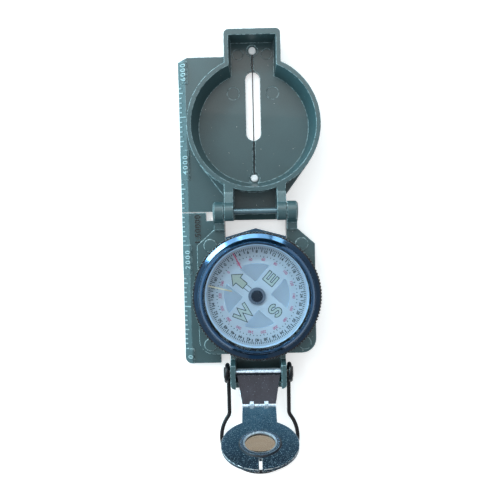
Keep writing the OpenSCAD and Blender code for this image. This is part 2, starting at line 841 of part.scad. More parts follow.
// Plan of the knurl: a ring of blunt teeth
module knurl_plan() {
    pitch = 360 / knurl_n;
    root = knurl_r - knurl_d;
    polygon([
        for (i = [0:knurl_n - 1])
            for (c = [
                [0, root],
                [knurl_root, root],
                [knurl_root + knurl_flank, knurl_r],
                [1 - knurl_flank, knurl_r],
            ])
                c[1] * [cos((i + c[0]) * pitch), sin((i + c[0]) * pitch)]
    ]);
}

module bezel_ring() {
    root = knurl_r - knurl_d;
    color(anodised) difference() {
        union() {
            rotate_extrude() polygon([
                [bezel_in, bezel_z],
                [root - knurl_d, bezel_z],
                [root - knurl_d, knurl_top],
                [cone_r, knurl_top + shoulder_rise],
                [cone_top_r, bezel_top - lip_t],
                [cone_top_r - lip_t, bezel_top],
                [lip_in + lip_t / 2, bezel_top],
                [lip_in, gasket_top],
                [crystal_r + seat_gap, gasket_top],
                [crystal_r + seat_gap, crystal_z],
                [skirt_in, crystal_z],
                [skirt_in, shelf_z],
                [bezel_in, shelf_z],
            ]);
            difference() {
                translate([0, 0, bezel_z]) linear_extrude(knurl_h) knurl_plan();
                translate([0, 0, bezel_z - cut]) cylinder(r = root - 2 * knurl_d, h = knurl_h + 2 * cut);
            }
        }
        translate([0, 0, retainer_z]) rotate_extrude()
            translate([turret_r, 0]) circle(r = retainer_d / 2 + 2 * run_gap);
    }
}

module bezel_crystal() {
    color(clear) translate([0, 0, crystal_z]) cylinder(r = crystal_r, h = crystal_t);
}

module crystal_gasket() {
    color(black) ring(lip_in + seat_gap, crystal_r, crystal_top, gasket_t);
}

// A thin line on the under side of the crystal
module crystal_line(deg, l, w) {
    rotate([0, 0, deg]) translate([lip_in - line_edge - l, -w / 2, crystal_z - line_t]) cube([l, w, line_t]);
}

module bearing_line() {
    color([0.85, 0.85, 0.35]) crystal_line(bearing_deg, bearing_l, bearing_w);
}

module red_line() {
    color([0.75, 0.20, 0.20]) crystal_line(red_deg, red_l, red_w);
}

// Heights on the dial, measured from its face
function face_z() = cup_top - dial_drop;
function jewel_z() = face_z() - jewel_t / 2;
function needle_play() = seat_gap;

module dial_card() {
    under = face_z() - dial_t;
    color(ivory) translate([0, 0, under]) difference() {
        cylinder(r = dial_r, h = dial_t);
        translate([0, 0, -cut]) difference() {
            cylinder(r = window_r, h = dial_t + 2 * cut);
            for (a = [north_deg, north_deg + 90]) rotate([0, 0, a])
                translate([-dial_r, -spoke_w / 2, -cut]) cube([2 * dial_r, spoke_w, dial_t + 4 * cut]);
        }
        translate([0, 0, -cut]) cylinder(r = hub_stem_r + seat_gap, h = dial_t + 2 * cut);
    }
}

module magnet_bar() {
    top = face_z() - dial_t;
    color(steel) difference() {
        rotate([0, 0, north_deg]) translate([-magnet_l / 2, -magnet_w / 2, top - magnet_t])
            cube([magnet_l, magnet_w, magnet_t]);
        translate([0, 0, top - magnet_t - cut]) cylinder(r = hub_stem_r + seat_gap, h = magnet_t + 2 * cut);
    }
}

module hub_cup() {
    stem_z = face_z() - dial_t - magnet_t;
    color([0.55, 0.56, 0.58]) difference() {
        union() {
            translate([0, 0, stem_z]) cylinder(r = hub_stem_r, h = face_z() - stem_z);
            translate([0, 0, face_z()]) cylinder(r = hub_r, h = hub_t);
        }
        translate([0, 0, stem_z - cut])
            cylinder(r = jewel_r + seat_gap, h = jewel_z() + jewel_t - stem_z + cut);
    }
}

module jewel() {
    color([0.80, 0.30, 0.40]) translate([0, 0, jewel_z()]) cylinder(r = jewel_r, h = jewel_t);
}

module hub_cap() {
    color(anodised) translate([0, 0, face_z() + hub_t]) cylinder(r1 = cap_r, r2 = cap_r - cap_t, h = cap_t);
}

// Places its children in the frame of the first plate, which runs along -Y from the pivot
module plate_frame() {
    translate([0, pivot_y, pivot_z]) rotate([-plate_deg, 0, 0]) children();
}

// Places its children in the frame of the lens plate, with the lens at the origin
module disc_frame() {
    plate_frame() translate([0, -plate_l, mid_offset]) rotate([-bend_deg, 0, 0])
        translate([0, -disc_reach, 0]) children();
}

// Side view of the bent strip, from the pivot round the bend to the middle of the lens
function strip_profile() = let (
    c = [bend_trim - plate_l, mid_offset + bend_mid],
    turn = -90 - bend_deg,
    reach = (disc_reach - bend_trim) * [sin(turn), -cos(turn)],
    outer = arc(c, bend_r + plate_t, -90, turn, corner_steps),
    inner = arc(c, bend_r, turn, -90, corner_steps)
) concat(
    [[0, plate_top - plate_t]],
    outer,
    [outer[corner_steps] + reach, inner[0] + reach],
    inner,
    [[0, plate_top]]
);

// Plan of the bent strip, which narrows from the pivot to the bend
module strip_plan() {
    polygon([
        [-plate_w / 2, cut],
        [plate_w / 2, cut],
        [plate_w / 2, 0],
        [neck_w / 2, bend_trim - plate_l],
        [neck_w / 2, -plate_l - disc_reach],
        [-neck_w / 2, -plate_l - disc_reach],
        [-neck_w / 2, bend_trim - plate_l],
        [-plate_w / 2, 0],
    ]);
}

module lens_bracket() {
    color(steel) difference() {
        union() {
            plate_frame() {
                rotate([0, 90, 0]) translate([0, 0, -plate_w / 2]) cylinder(r = roll_r, h = plate_w);
                intersection() {
                    along_x(-plate_w / 2, plate_w / 2) polygon(strip_profile());
                    translate([0, 0, -cut]) linear_extrude(disc_reach + cut) strip_plan();
                }
                for (side = [-1, 1]) along_x(side * rib_x - rib_w / 2, side * rib_x + rib_w / 2)
                    polygon([
                        [rib_leg - plate_l, plate_top],
                        [rib_leg - plate_l, mid_offset],
                        [-plate_l, mid_offset],
                        [-plate_l - rib_leg * cos(bend_deg), mid_offset + rib_leg * sin(bend_deg)],
                        [-plate_l - rib_leg * cos(bend_deg) + plate_t / 2 * sin(bend_deg),
                            mid_offset + rib_leg * sin(bend_deg) + plate_t / 2 * cos(bend_deg)],
                    ]);
            }
            disc_frame() translate([0, 0, -plate_t / 2]) cylinder(r = disc_r, h = plate_t);
        }
        bar_x(-plate_w, plate_w, pivot_y, pivot_z, lens_pin_r + run_gap);
        disc_frame() translate([0, 0, -cut]) {
            cylinder(r = eyelet_r + seat_gap, h = 2 * cut);
            translate([-slit_w / 2, -disc_r - cut, 0]) cube([slit_w, slit_l + cut, 2 * cut]);
        }
    }
}

module lens_eyelet() {
    half = plate_t / 2;
    lip_r = lens_r - eyelet_lip;
    color(steel) disc_frame() rotate_extrude() polygon([
        [lens_r + seat_gap, -half],
        [lip_r, -half],
        [lip_r, -half - eyelet_rise / 2],
        [lens_r + eyelet_wall, -half - eyelet_rise],
        [eyelet_out - eyelet_rise, -half - eyelet_rise],
        [eyelet_out, -half],
        [eyelet_r, -half],
        [eyelet_r, half],
        [eyelet_out, half],
        [eyelet_out - eyelet_rise, half + eyelet_rise],
        [lens_r + eyelet_wall, half + eyelet_rise],
        [lip_r, half + eyelet_rise / 2],
        [lip_r, half],
        [lens_r + seat_gap, half],
    ]);
}

module lens() {
    color(clear) disc_frame() intersection() {
        cylinder(r = lens_r, h = 2 * lens_t, center = true);
        translate([0, 0, lens_curve - lens_t / 2]) sphere(r = lens_curve, $fn = lens_facets);
        translate([0, 0, lens_t / 2 - lens_curve]) sphere(r = lens_curve, $fn = lens_facets);
    }
}

// Points of one eye of the thumb loop, from the tail to the arm, on the side given by the sign
function eye_points(side, n) = [
    for (i = [n:-1:1]) let (a = eye_turn * i / n)
        [side * (eye_x + eye_shift * i / n), eye_r * sin(a), -eye_r * cos(a)]
];

// Points of the flat part of the loop, from the right arm round to the left arm
function loop_points() = let (
    right = concat(
        [[eye_x, 0]],
        arc([eye_x + loop_bend, -loop_bend_y], loop_bend, 180, 180 + loop_bend_deg, bend_steps)
    ),
    around = arc([0, -loop_reach], loop_r, loop_bend_deg, -180 - loop_bend_deg, ring_steps),
    left = [for (i = [len(right) - 1:-1:0]) [-right[i].x, right[i].y]],
    flat = concat(right, [for (i = [1:len(around) - 2]) around[i]], left)
) [for (p = flat) [p.x, p.y, -eye_r]];

function reverse(list) = [for (i = [len(list) - 1:-1:0]) list[i]];
function unit(v) = v / norm(v);

// A round wire through points, each with a hint for the side of its section
module wire(points, hints, r, sides) {
    last = len(points) - 1;
    tangents = [for (i = [0:last]) unit(points[min(i + 1, last)] - points[max(i - 1, 0)])];
    skin = [
        for (i = [0:last])
            let (t = tangents[i], u = unit(hints[i] - (hints[i] * t) * t), v = cross(t, u))
                for (j = [0:sides - 1])
                    points[i] + r * (cos(360 * j / sides) * u + sin(360 * j / sides) * v)
    ];
    walls = [
        for (i = [0:last - 1])
            for (j = [0:sides - 1])
                let (a = i * sides + j, b = i * sides + (j + 1) % sides)
                    for (f = [[a, a + sides, b], [b, a + sides, b + sides]]) f
    ];
    caps = [
        for (j = [1:sides - 2])
            for (f = [[0, j, j + 1], [last * sides, last * sides + j + 1, last * sides + j]]) f
    ];
    polyhedron(skin, concat(walls, caps));
}

module thumb_loop() {
    flat = loop_points();
    right = eye_points(1, eye_steps);
    left = reverse(eye_points(-1, eye_steps));
    last = len(flat) - 1;
    flat_hints = [
        for (i = [0:last]) cross([0, 0, 1], unit(flat[min(i + 1, last)] - flat[max(i - 1, 0)]))
    ];
    hints = concat([for (p = right) [1, 0, 0]], flat_hints, [for (p = left) [-1, 0, 0]]);
    color(black) translate([0, pivot_y, pivot_z]) rotate([loop_droop, 0, 0])
        wire(concat(right, flat, left), hints, wire_r, wire_sides);
}

base_case();
capsule_cup();
capsule_seal();
capsule_cover();
pivot_pin();
index_washer();
bezel_retainer();
lid_hinge_pin();
lens_hinge_pin();
loop_studs();
lid_shell();
sight_wire();
upper_wire_plug();
lower_wire_plug();
bezel_ring();
bezel_crystal();
crystal_gasket();
bearing_line();
red_line();
dial_card();
magnet_bar();
hub_cup();
jewel();
hub_cap();
lens_bracket();
lens_eyelet();
lens();
thumb_loop();
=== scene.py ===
"""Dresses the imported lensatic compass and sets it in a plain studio.

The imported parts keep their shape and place. This script gives each part its finish, adds the raised
figures of the ruler, the print of the dial and the drawn wire of the thumb loop, and sets up the light,
the floor and the camera. Lengths are in millimetres where nothing else is said.
"""

import logging
import math
from abc import ABC, abstractmethod
from collections.abc import Callable, Sequence
from dataclasses import dataclass, field
from enum import Enum, IntEnum

import bmesh
import bpy
from bmesh.types import BMesh, BMVert
from bpy.types import Material, Mesh, MeshPolygon, Node, NodeSocket, NodeTree, Object
from mathutils import Matrix, Vector


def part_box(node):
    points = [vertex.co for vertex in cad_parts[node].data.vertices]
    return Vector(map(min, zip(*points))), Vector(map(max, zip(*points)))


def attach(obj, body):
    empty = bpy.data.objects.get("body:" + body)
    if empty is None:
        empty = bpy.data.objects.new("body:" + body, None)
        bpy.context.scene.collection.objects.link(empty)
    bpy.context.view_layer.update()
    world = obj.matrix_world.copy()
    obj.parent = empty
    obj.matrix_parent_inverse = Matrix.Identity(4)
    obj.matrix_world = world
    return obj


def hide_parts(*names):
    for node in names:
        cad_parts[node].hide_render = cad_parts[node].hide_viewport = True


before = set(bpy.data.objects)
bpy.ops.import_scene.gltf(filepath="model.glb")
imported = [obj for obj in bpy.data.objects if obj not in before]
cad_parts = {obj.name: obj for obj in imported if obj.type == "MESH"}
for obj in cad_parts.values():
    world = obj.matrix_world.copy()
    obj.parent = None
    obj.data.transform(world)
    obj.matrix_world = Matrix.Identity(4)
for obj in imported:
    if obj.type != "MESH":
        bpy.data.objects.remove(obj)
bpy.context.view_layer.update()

LOG = logging.getLogger("compass")
MM = 0.001
FULL_TURN = 360

# Distances in metres within which points are one: in drawn meshes, across packed strips and in slivers.
WELD_M = 1e-7
SEAM_M = 2e-6
SLIVER_M = 1e-6

# Corners of strokes and outlines run out no further than this allows.
SHARPEST = 0.25

# Smudges on clear finishes: their grain, the part of it that dulls, and the roughness between them.
SMUDGE_GRAIN: dict[str, float] = {"Scale": 900.0, "Mottle_Scale": 90.0, "Mottle": 0.7}
SMUDGE_SPAN: tuple[float, float] = (0.2, 1.0)
CLEAN_ROUGH = 0.01

Colour = tuple[float, float, float]
Flat = tuple[float, float]
Point = tuple[float, float, float]
Heights = Callable[[float, float], float]
Sockets = dict[str, NodeSocket]
UNIT: Flat = (0.0, 1.0)


class Body(Enum):
    """The moving bodies of the compass."""

    BASE = "base"
    LID = "lid"
    BEZEL = "bezel"
    DIAL = "dial"
    LENS = "sight_lens"
    LOOP = "loop"


class Effect(Enum):
    """The surface effects that several finishes share."""

    GRAIN = "Fine_grain"
    EDGE = "Worn_edge"
    # Pale specks scattered at random over a surface.
    SPECK = "Dust_specks"
    STREAK = "Drawn_streaks"
    SHADE_FADE = "Slow_fade"


class RingZone(IntEnum):
    """The places of the bezel ring, in the order of its finishes."""

    TOP = 0
    KNURL = 1
    SLOPE = 2


class BracketZone(IntEnum):
    """The places of the lens bracket, in the order of its finishes."""

    PLATE = 0
    PAINTED_HIGHLIGHT = 1
    DISC = 2


class EyeletZone(IntEnum):
    """The places of the lens eyelet, in the order of its finishes."""

    FLAT = 0
    OUTER = 1
    INNER = 2


def screen(red: int, green: int, blue: int) -> Colour:
    """Turns a colour as seen on a screen into linear light.

    Args:
        red: Red, from 0 to 255.
        green: Green, from 0 to 255.
        blue: Blue, from 0 to 255.

    Returns:
        The three linear values, from 0 to 1.
    """

    def linear(level: int) -> float:
        """Gives the linear value of one channel, by the usual curve of screens."""
        share = level / 255
        return share / 12.92 if share <= 0.04045 else ((share + 0.055) / 1.055) ** 2.4

    return linear(red), linear(green), linear(blue)


class Graph:
    """A node tree while it is being wired.

    Attributes:
        tree: The node tree.
    """

    def __init__(self, tree: NodeTree) -> None:
        """Starts on a tree, which is emptied."""
        self.tree = tree
        tree.nodes.clear()

    def add(self, kind: str, values: dict[str | int, object] | None = None, **settings: object) -> Node:
        """Adds a node.

        Args:
            kind: Blender's name of the node type.
            values: Values or sockets for the node's inputs, by socket name or number.
            settings: Properties of the node itself.

        Returns:
            The new node.
        """
        node = self.tree.nodes.new(kind)
        for name, value in settings.items():
            setattr(node, name, value)
        for name, value in (values or {}).items():
            self.feed(node.inputs[name], value)
        return node

    def feed(self, socket: NodeSocket, value: object) -> None:
        """Links a socket to an input, or sets the input to a plain value.

        Args:
            socket: The input to feed.
            value: Another node's output, a number or a colour.
        """
        if isinstance(value, NodeSocket):
            self.tree.links.new(value, socket)
        elif isinstance(value, tuple) and len(value) == 3 and socket.type == "RGBA":
            socket.default_value = (*value, 1.0)
        else:
            socket.default_value = value

    def math(self, operation: str, first: object, second: object, **settings: object) -> NodeSocket:
        """Works out one value from two.

        Args:
            operation: Blender's name of the operation.
            first: The first value or socket.
            second: The second value or socket.
            settings: Other properties of the node.

        Returns:
            The output socket.
        """
        return self.add("ShaderNodeMath", {0: first, 1: second}, operation=operation, **settings).outputs[0]

    def dot(self, first: object, second: object) -> NodeSocket:
        """Tells how far two directions agree."""
        node = self.add("ShaderNodeVectorMath", {0: first, 1: second}, operation="DOT_PRODUCT")
        return node.outputs["Value"]

    def place(self) -> NodeSocket:
        """Gives the place on the surface, in the frame of the compass."""
        return self.add("ShaderNodeTexCoord").outputs["Object"]

    def noise(self, place: object, scale: object, detail: float) -> NodeSocket:
        """Gives a soft noise over the surface."""
        return self.add("ShaderNodeTexNoise", {"Vector": place, "Scale": scale, "Detail": detail}).outputs[0]

    def close(self, surface: NodeSocket, kind: str = "ShaderNodeOutputMaterial") -> None:
        """Ends the tree with its output node."""
        self.add(kind, {"Surface": surface}).is_active_output = True

    def remap(self, value: object, span: tuple[object, object], to: Flat = UNIT) -> NodeSocket:
        """Maps a value from one range to another, and holds it there.

        Args:
            value: The value or socket.
            span: Low and high end of the first range.
            to: Low and high end of the second range.

        Returns:
            The output socket.
        """
        limits = {"Value": value, "From Min": span[0], "From Max": span[1], "To Min": to[0], "To Max": to[1]}
        return self.add("ShaderNodeMapRange", limits).outputs["Result"]

    def tint(self, share: object, under: object, over: object) -> NodeSocket:
        """Lays one colour over another.

        Args:
            share: How much of the upper colour shows.
            under: The lower colour.
            over: The upper colour.

        Returns:
            The mixed colour.
        """
        node = self.add("ShaderNodeMix", data_type="RGBA")
        self.feed(node.inputs["Factor"], share)
        self.feed(node.inputs["A"], under)
        self.feed(node.inputs["B"], over)
        return node.outputs["Result"]


class EffectShelf:
    """Builds each shared effect once, as a node group, and places it in materials.

    Attributes:
        groups: The groups built so far.
        detail: Fineness of the noise in an effect.
        span: Noise at which an effect starts to show and is full.
        edge_rays: Number of rays that look for an edge.
    """

    detail: dict[Effect, float] = {Effect.GRAIN: 3.0, Effect.EDGE: 2.0, Effect.STREAK: 4.0}
    span: dict[Effect, Flat] = {
        Effect.GRAIN: (0.3, 0.7), Effect.EDGE: (0.38, 0.62), Effect.STREAK: (0.35, 0.65),
    }
    edge_rays: int = 6

    def __init__(self) -> None:
        """Starts with no groups."""
        self.groups: dict[Effect, NodeTree] = {}

    def place(self, graph: Graph, effect: Effect, **values: object) -> Node:
        """Puts an effect into a material.

        Args:
            graph: The material's tree.
            effect: Which effect.
            values: Values for the group's inputs; underscores stand for spaces.

        Returns:
            The group node.
        """
        if effect not in self.groups:
            makers = {
                Effect.GRAIN: self._grain,
                Effect.EDGE: self._edge,
                Effect.SPECK: self._speck,
                Effect.STREAK: self._streak,
                Effect.SHADE_FADE: self._shade_fade,
            }
            self.groups[effect] = makers[effect]()
        node = graph.add("ShaderNodeGroup", node_tree=self.groups[effect])
        for name, value in values.items():
            graph.feed(node.inputs[name.replace("_", " ")], value)
        return node

    @staticmethod
    def _open(
        effect: Effect, inputs: dict[str, object], outputs: dict[str, str]
    ) -> tuple[Graph, Sockets, Sockets]:
        """Starts a group with named sockets.

        Args:
            effect: Which effect.
            inputs: Starting values by name; a number or a colour.
            outputs: Socket kinds by name.

        Returns:
            The graph, its inputs and its outputs, by name.
        """
        tree = bpy.data.node_groups.new(effect.value, "ShaderNodeTree")
        for name, value in inputs.items():
            kind = "NodeSocketColor" if isinstance(value, tuple) else "NodeSocketFloat"
            socket = tree.interface.new_socket(name, in_out="INPUT", socket_type=kind)
            socket.default_value = (*value, 1.0) if isinstance(value, tuple) else value
        for name, kind in outputs.items():
            tree.interface.new_socket(name, in_out="OUTPUT", socket_type=kind)
        graph = Graph(tree)
        entry = graph.add("NodeGroupInput").outputs
        leave = graph.add("NodeGroupOutput").inputs
        return graph, {name: entry[name] for name in inputs}, {name: leave[name] for name in outputs}

    def _grain(self) -> NodeTree:
        """Builds the grain: fine noise over a slow mottle.

        Returns:
            The group.
        """
        tones = {"Dark": (0.2, 0.2, 0.2), "Light": (0.3, 0.3, 0.3)}
        graph, ins, outs = self._open(
            Effect.GRAIN,
            {"Scale": 3000.0, "Mottle Scale": 120.0, "Mottle": 0.5, **tones},
            {"Color": "NodeSocketColor", "Height": "NodeSocketFloat", "Value": "NodeSocketFloat"},
        )
        place = graph.place()
        fine = graph.noise(place, ins["Scale"], self.detail[Effect.GRAIN])
        slow = graph.noise(place, ins["Mottle Scale"], self.detail[Effect.GRAIN])
        blend = graph.add("ShaderNodeMix", {0: ins["Mottle"], 2: fine, 3: slow}).outputs[0]
        share = graph.remap(blend, self.span[Effect.GRAIN])
        graph.feed(outs["Color"], graph.tint(share, ins["Dark"], ins["Light"]))
        graph.feed(outs["Height"], fine)
        graph.feed(outs["Value"], share)
        return graph.tree

    def _edge(self) -> NodeTree:
        """Builds the edge effect: a rounded normal, and a mask where it leaves the flat one, by which
        finishes lighten their edges for wear and for a painted highlight.

        Returns:
            The group.
        """
        graph, ins, outs = self._open(
            Effect.EDGE,
            {"Radius": 0.0003, "Ragged Scale": 900.0, "Reach": 0.2},
            {"Mask": "NodeSocketFloat", "Normal": "NodeSocketVector"},
        )
        rounded = graph.add("ShaderNodeBevel", {"Radius": ins["Radius"]}, samples=self.edge_rays).outputs[0]
        plain = graph.add("ShaderNodeNewGeometry").outputs["Normal"]
        turn = graph.math("SUBTRACT", 1.0, graph.dot(rounded, plain))
        ragged = graph.noise(graph.place(), ins["Ragged Scale"], self.detail[Effect.EDGE])
        bite = graph.remap(ragged, self.span[Effect.EDGE])
        wear_and_glint = graph.math("DIVIDE", turn, ins["Reach"])
        graph.feed(outs["Mask"], graph.math("MULTIPLY", wear_and_glint, bite, use_clamp=True))
        graph.feed(outs["Normal"], rounded)
        return graph.tree

    def _speck(self) -> NodeTree:
        """Builds the specks: a few round grains scattered over the surface.

        Returns:
            The group.
        """
        graph, ins, outs = self._open(
            Effect.SPECK, {"Scale": 700.0, "Share": 0.05, "Size": 0.2}, {"Mask": "NodeSocketFloat"}
        )
        cells = graph.add("ShaderNodeTexVoronoi", {"Vector": graph.place(), "Scale": ins["Scale"]})
        parts = graph.add("ShaderNodeSeparateColor", {0: cells.outputs["Color"]})
        chosen = graph.math("LESS_THAN", parts.outputs[0], ins["Share"])
        size = graph.math("MULTIPLY", ins["Size"], parts.outputs[1])
        inside = graph.math("LESS_THAN", cells.outputs["Distance"], size)
        graph.feed(outs["Mask"], graph.math("MULTIPLY", chosen, inside))
        return graph.tree

    def _streak(self) -> NodeTree:
        """Builds the streaks that drawing and rolling leave on metal.

        Returns:
            The group.
        """
        graph, ins, outs = self._open(
            Effect.STREAK, {"Scale": 400.0, "Stretch": 0.05}, {"Mask": "NodeSocketFloat"}
        )
        parts = graph.add("ShaderNodeSeparateXYZ", {0: graph.place()}).outputs
        along = graph.math("MULTIPLY", parts[1], ins["Stretch"])
        laid = graph.add("ShaderNodeCombineXYZ", {0: parts[0], 1: along, 2: parts[2]}).outputs[0]
        lines = graph.noise(laid, ins["Scale"], self.detail[Effect.STREAK])
        graph.feed(outs["Mask"], graph.remap(lines, self.span[Effect.STREAK]))
        return graph.tree

    def _shade_fade(self) -> NodeTree:
        """Builds the painted shade: a mask that grows slowly along the compass, by which a tone darkens as if
        in shade.

        Returns:
            The group.
        """
        graph, ins, outs = self._open(Effect.SHADE_FADE, {"Start": 0.0, "End": 0.01}, {"Mask": "NodeSocketFloat"})
        along = graph.add("ShaderNodeSeparateXYZ", {0: graph.place()}).outputs[1]
        graph.feed(outs["Mask"], graph.remap(along, (ins["Start"], ins["End"])))
        return graph.tree


SHELF = EffectShelf()


@dataclass(frozen=True)
class Coating(ABC):
    """What every finish has.

    Attributes:
        name: Name of the material.
        slot: The record's material slot for this finish; not used in this script.
    """

    name: str
    slot: str

    def material(self) -> Material:
        """Gives this finish's material, built on first use."""
        return bpy.data.materials.get(self.name) or self._build()

    def _start(self) -> tuple[Material, Graph, Node]:
        """Starts the material.

        Returns:
            The material, its tree and its shader.
        """
        made = bpy.data.materials.new(self.name)
        made.use_nodes = True
        graph = Graph(made.node_tree)
        return made, graph, graph.add("ShaderNodeBsdfPrincipled")

    @abstractmethod
    def _build(self) -> Material:
        """Wires the material and gives it."""


@dataclass(frozen=True)
class Finish(Coating):
    """An opaque finish: paint, plastic, metal, print or rubber.

    Attributes:
        dark: Darker tone of the grain.
        light: Lighter tone of the grain.
        rough: Roughness where the grain is dark and where it is light.
        metallic: Whether the surface is bare metal, from 0 to 1.
        grain_scale: Fineness of the grain, per metre.
        mottle: Share of the slow mottle in the tone.
        mottle_scale: Fineness of the slow mottle, per metre.
        bump: Depth of the grain.
        edge_mm: Radius at which edges look rounded.
        edge_wear_and_glint_tone: Colour to which edges lighten, for wear and for a painted highlight where
            they catch light.
        edge_wear_and_glint_share: How strongly this wear and painted highlight show.
        speck_tone: Colour of specks.
        speck_share: Share of the surface cells that hold a speck.
        speck_scale: Fineness of the specks, per metre.
        speck_size: Size of the largest speck, as a share of its cell.
        streak: How strongly drawn streaks show.
        streak_scale: Fineness of the streaks, per metre.
        streak_depth: Tone of a streak, as a share of the darker tone.
        coat: Weight of a clear coat.
        specular: Level of the plain reflection.
        glow: Strength of a painted glow, light that the surface gives off though it is no lamp.
        painted_shade: Where a painted shade starts and where it is full, along the compass.
        painted_shade_tone: Colour of that painted shade.
    """

    dark: Colour
    light: Colour
    rough: Flat
    metallic: float = 0.0
    grain_scale: float = 3000.0
    mottle: float = 0.5
    mottle_scale: float = 120.0
    bump: float = 0.01
    edge_mm: float = 0.0
    edge_wear_and_glint_tone: Colour = (0.5, 0.6, 0.62)
    edge_wear_and_glint_share: float = 0.0
    speck_tone: Colour = (0.7, 0.75, 0.76)
    speck_share: float = 0.0
    speck_scale: float = 700.0
    speck_size: float = 0.2
    streak: float = 0.0
    streak_scale: float = 400.0
    streak_depth: float = 0.45
    coat: float = 0.0
    specular: float = 0.5
    glow: float = 0.0
    painted_shade: Flat = (0.0, 0.0)
    painted_shade_tone: Colour = (0.02, 0.03, 0.04)

    def _build(self) -> Material:
        """Wires the material.

        Returns:
            The new material.
        """
        made, graph, shader = self._start()
        graph.close(shader.outputs[0])
        grain = SHELF.place(
            graph, Effect.GRAIN, Scale=self.grain_scale, Mottle_Scale=self.mottle_scale,
            Mottle=self.mottle, Dark=self.dark, Light=self.light,
        )
        tone = grain.outputs["Color"]
        rough = graph.remap(grain.outputs["Value"], UNIT, self.rough)
        bump = graph.add(
            "ShaderNodeBump", {"Height": grain.outputs["Height"], "Distance": self.bump * MM, "Strength": 1.0}
        )
        # Painted shade: the tone darkens along the compass towards the shade tone.
        if self.painted_shade[0] != self.painted_shade[1]:
            painted_shade = SHELF.place(graph, Effect.SHADE_FADE, Start=self.painted_shade[0] * MM, End=self.painted_shade[1] * MM)
            tone = graph.tint(painted_shade.outputs["Mask"], tone, self.painted_shade_tone)
        if self.streak:
            streak = SHELF.place(graph, Effect.STREAK, Scale=self.streak_scale)
            faded = graph.math("MULTIPLY", streak.outputs["Mask"], self.streak)
            tone = graph.tint(faded, tone, tuple(self.streak_depth * level for level in self.dark))
        if self.speck_share:
            speck = SHELF.place(
                graph, Effect.SPECK, Scale=self.speck_scale, Share=self.speck_share, Size=self.speck_size
            )
            tone = graph.tint(speck.outputs["Mask"], tone, self.speck_tone)
        # Edges lighten: partly wear, partly a painted highlight where edges catch light.
        if self.edge_mm:
            edge = SHELF.place(graph, Effect.EDGE, Radius=self.edge_mm * MM)
            wear_and_glint = graph.math("MULTIPLY", edge.outputs["Mask"], self.edge_wear_and_glint_share)
            tone = graph.tint(wear_and_glint, tone, self.edge_wear_and_glint_tone)
            graph.feed(bump.inputs["Normal"], edge.outputs["Normal"])
        graph.feed(shader.inputs["Base Color"], tone)
        graph.feed(shader.inputs["Roughness"], rough)
        graph.feed(shader.inputs["Normal"], bump.outputs[0])
        shader.inputs["Metallic"].default_value = self.metallic
        shader.inputs["Coat Weight"].default_value = self.coat
        shader.inputs["Specular IOR Level"].default_value = self.specular
        # Painted light: the surface gives off its own tone.
        if self.glow:
            graph.feed(shader.inputs["Emission Color"], tone)
            shader.inputs["Emission Strength"].default_value = self.glow
        return made


@dataclass(frozen=True)
class ClearFinish(Coating):
    """A clear finish: glass or clear plastic.

    Attributes:
        tint: Colour of the light that passes.
        bend: Refractive index.
        rough_high: Roughness of smudges.
        plain: Share of the light that passes without glare.
    """

    tint: Colour
    bend: float
    rough_high: float
    plain: float = 0.0

    def _build(self) -> Material:
        """Wires the material, which lets light through to what lies below.

        Returns:
            The new material.
        """
        made, graph, shader = self._start()
        grain = SHELF.place(graph, Effect.GRAIN, **SMUDGE_GRAIN)
        smudged = graph.remap(grain.outputs["Value"], SMUDGE_SPAN, (CLEAN_ROUGH, self.rough_high))
        graph.feed(shader.inputs["Roughness"], smudged)
        shader.inputs["Base Color"].default_value = (*self.tint, 1.0)
        shader.inputs["Transmission Weight"].default_value = 1.0
        shader.inputs["IOR"].default_value = self.bend
        passing = graph.add("ShaderNodeBsdfTransparent", {"Color": self.tint})
        shadow = graph.add("ShaderNodeLightPath").outputs["Is Shadow Ray"]
        through = graph.math("MAXIMUM", shadow, self.plain)
        layers = {0: through, 1: shader.outputs[0], 2: passing.outputs[0]}
        graph.close(graph.add("ShaderNodeMixShader", layers).outputs[0])
        return made


# A finish with an edge radius lightens its edges towards its edge tone: partly wear, partly a painted
# highlight where edges catch light.
CASE_PAINT = Finish(
    "Case_paint", "case_paint", screen(49, 77, 82), screen(61, 93, 99), rough=(0.34, 0.46),
    grain_scale=2600, mottle=0.55, mottle_scale=60, bump=0.012, edge_mm=0.55,
    edge_wear_and_glint_tone=screen(190, 226, 234), edge_wear_and_glint_share=1.0, speck_share=0.03, speck_scale=1700, speck_size=0.24,
    coat=0.15,
)
# Painted highlight: the raised figures and ticks are of the case's paint but made much lighter, as if lit.
FIGURE_HIGHLIGHT = Finish(
    "Figure_painted_highlight", "case_paint", screen(138, 168, 174), screen(162, 192, 198), rough=(0.3, 0.45),
    edge_mm=0.14, edge_wear_and_glint_tone=screen(222, 240, 244), edge_wear_and_glint_share=1.0, bump=0.006,
)
# Painted shade: the raised legend is of the case's paint but made almost black, as if in shade.
LEGEND_SHADE = Finish(
    "Legend_painted_shade", "case_paint", screen(6, 13, 17), screen(12, 21, 25), rough=(0.34, 0.46), edge_mm=0.07,
    edge_wear_and_glint_tone=screen(196, 226, 232), edge_wear_and_glint_share=1.0, bump=0.006,
)
BEZEL_COAT = Finish(
    "Bezel_coat", "bezel_anodised", screen(30, 62, 92), screen(44, 84, 120), metallic=0.9,
    rough=(0.16, 0.23), mottle=0.4, bump=0.003, edge_mm=0.16, edge_wear_and_glint_tone=screen(80, 120, 150),
    edge_wear_and_glint_share=0.5, coat=0.25,
)
SLOPE_COAT = Finish(
    "Slope_coat", "bezel_anodised", screen(30, 52, 74), screen(44, 74, 102), metallic=0.9,
    rough=(0.13, 0.19), mottle=0.4, bump=0.003, edge_mm=0.16, edge_wear_and_glint_tone=screen(110, 140, 160),
    edge_wear_and_glint_share=0.5, coat=0.25,
)
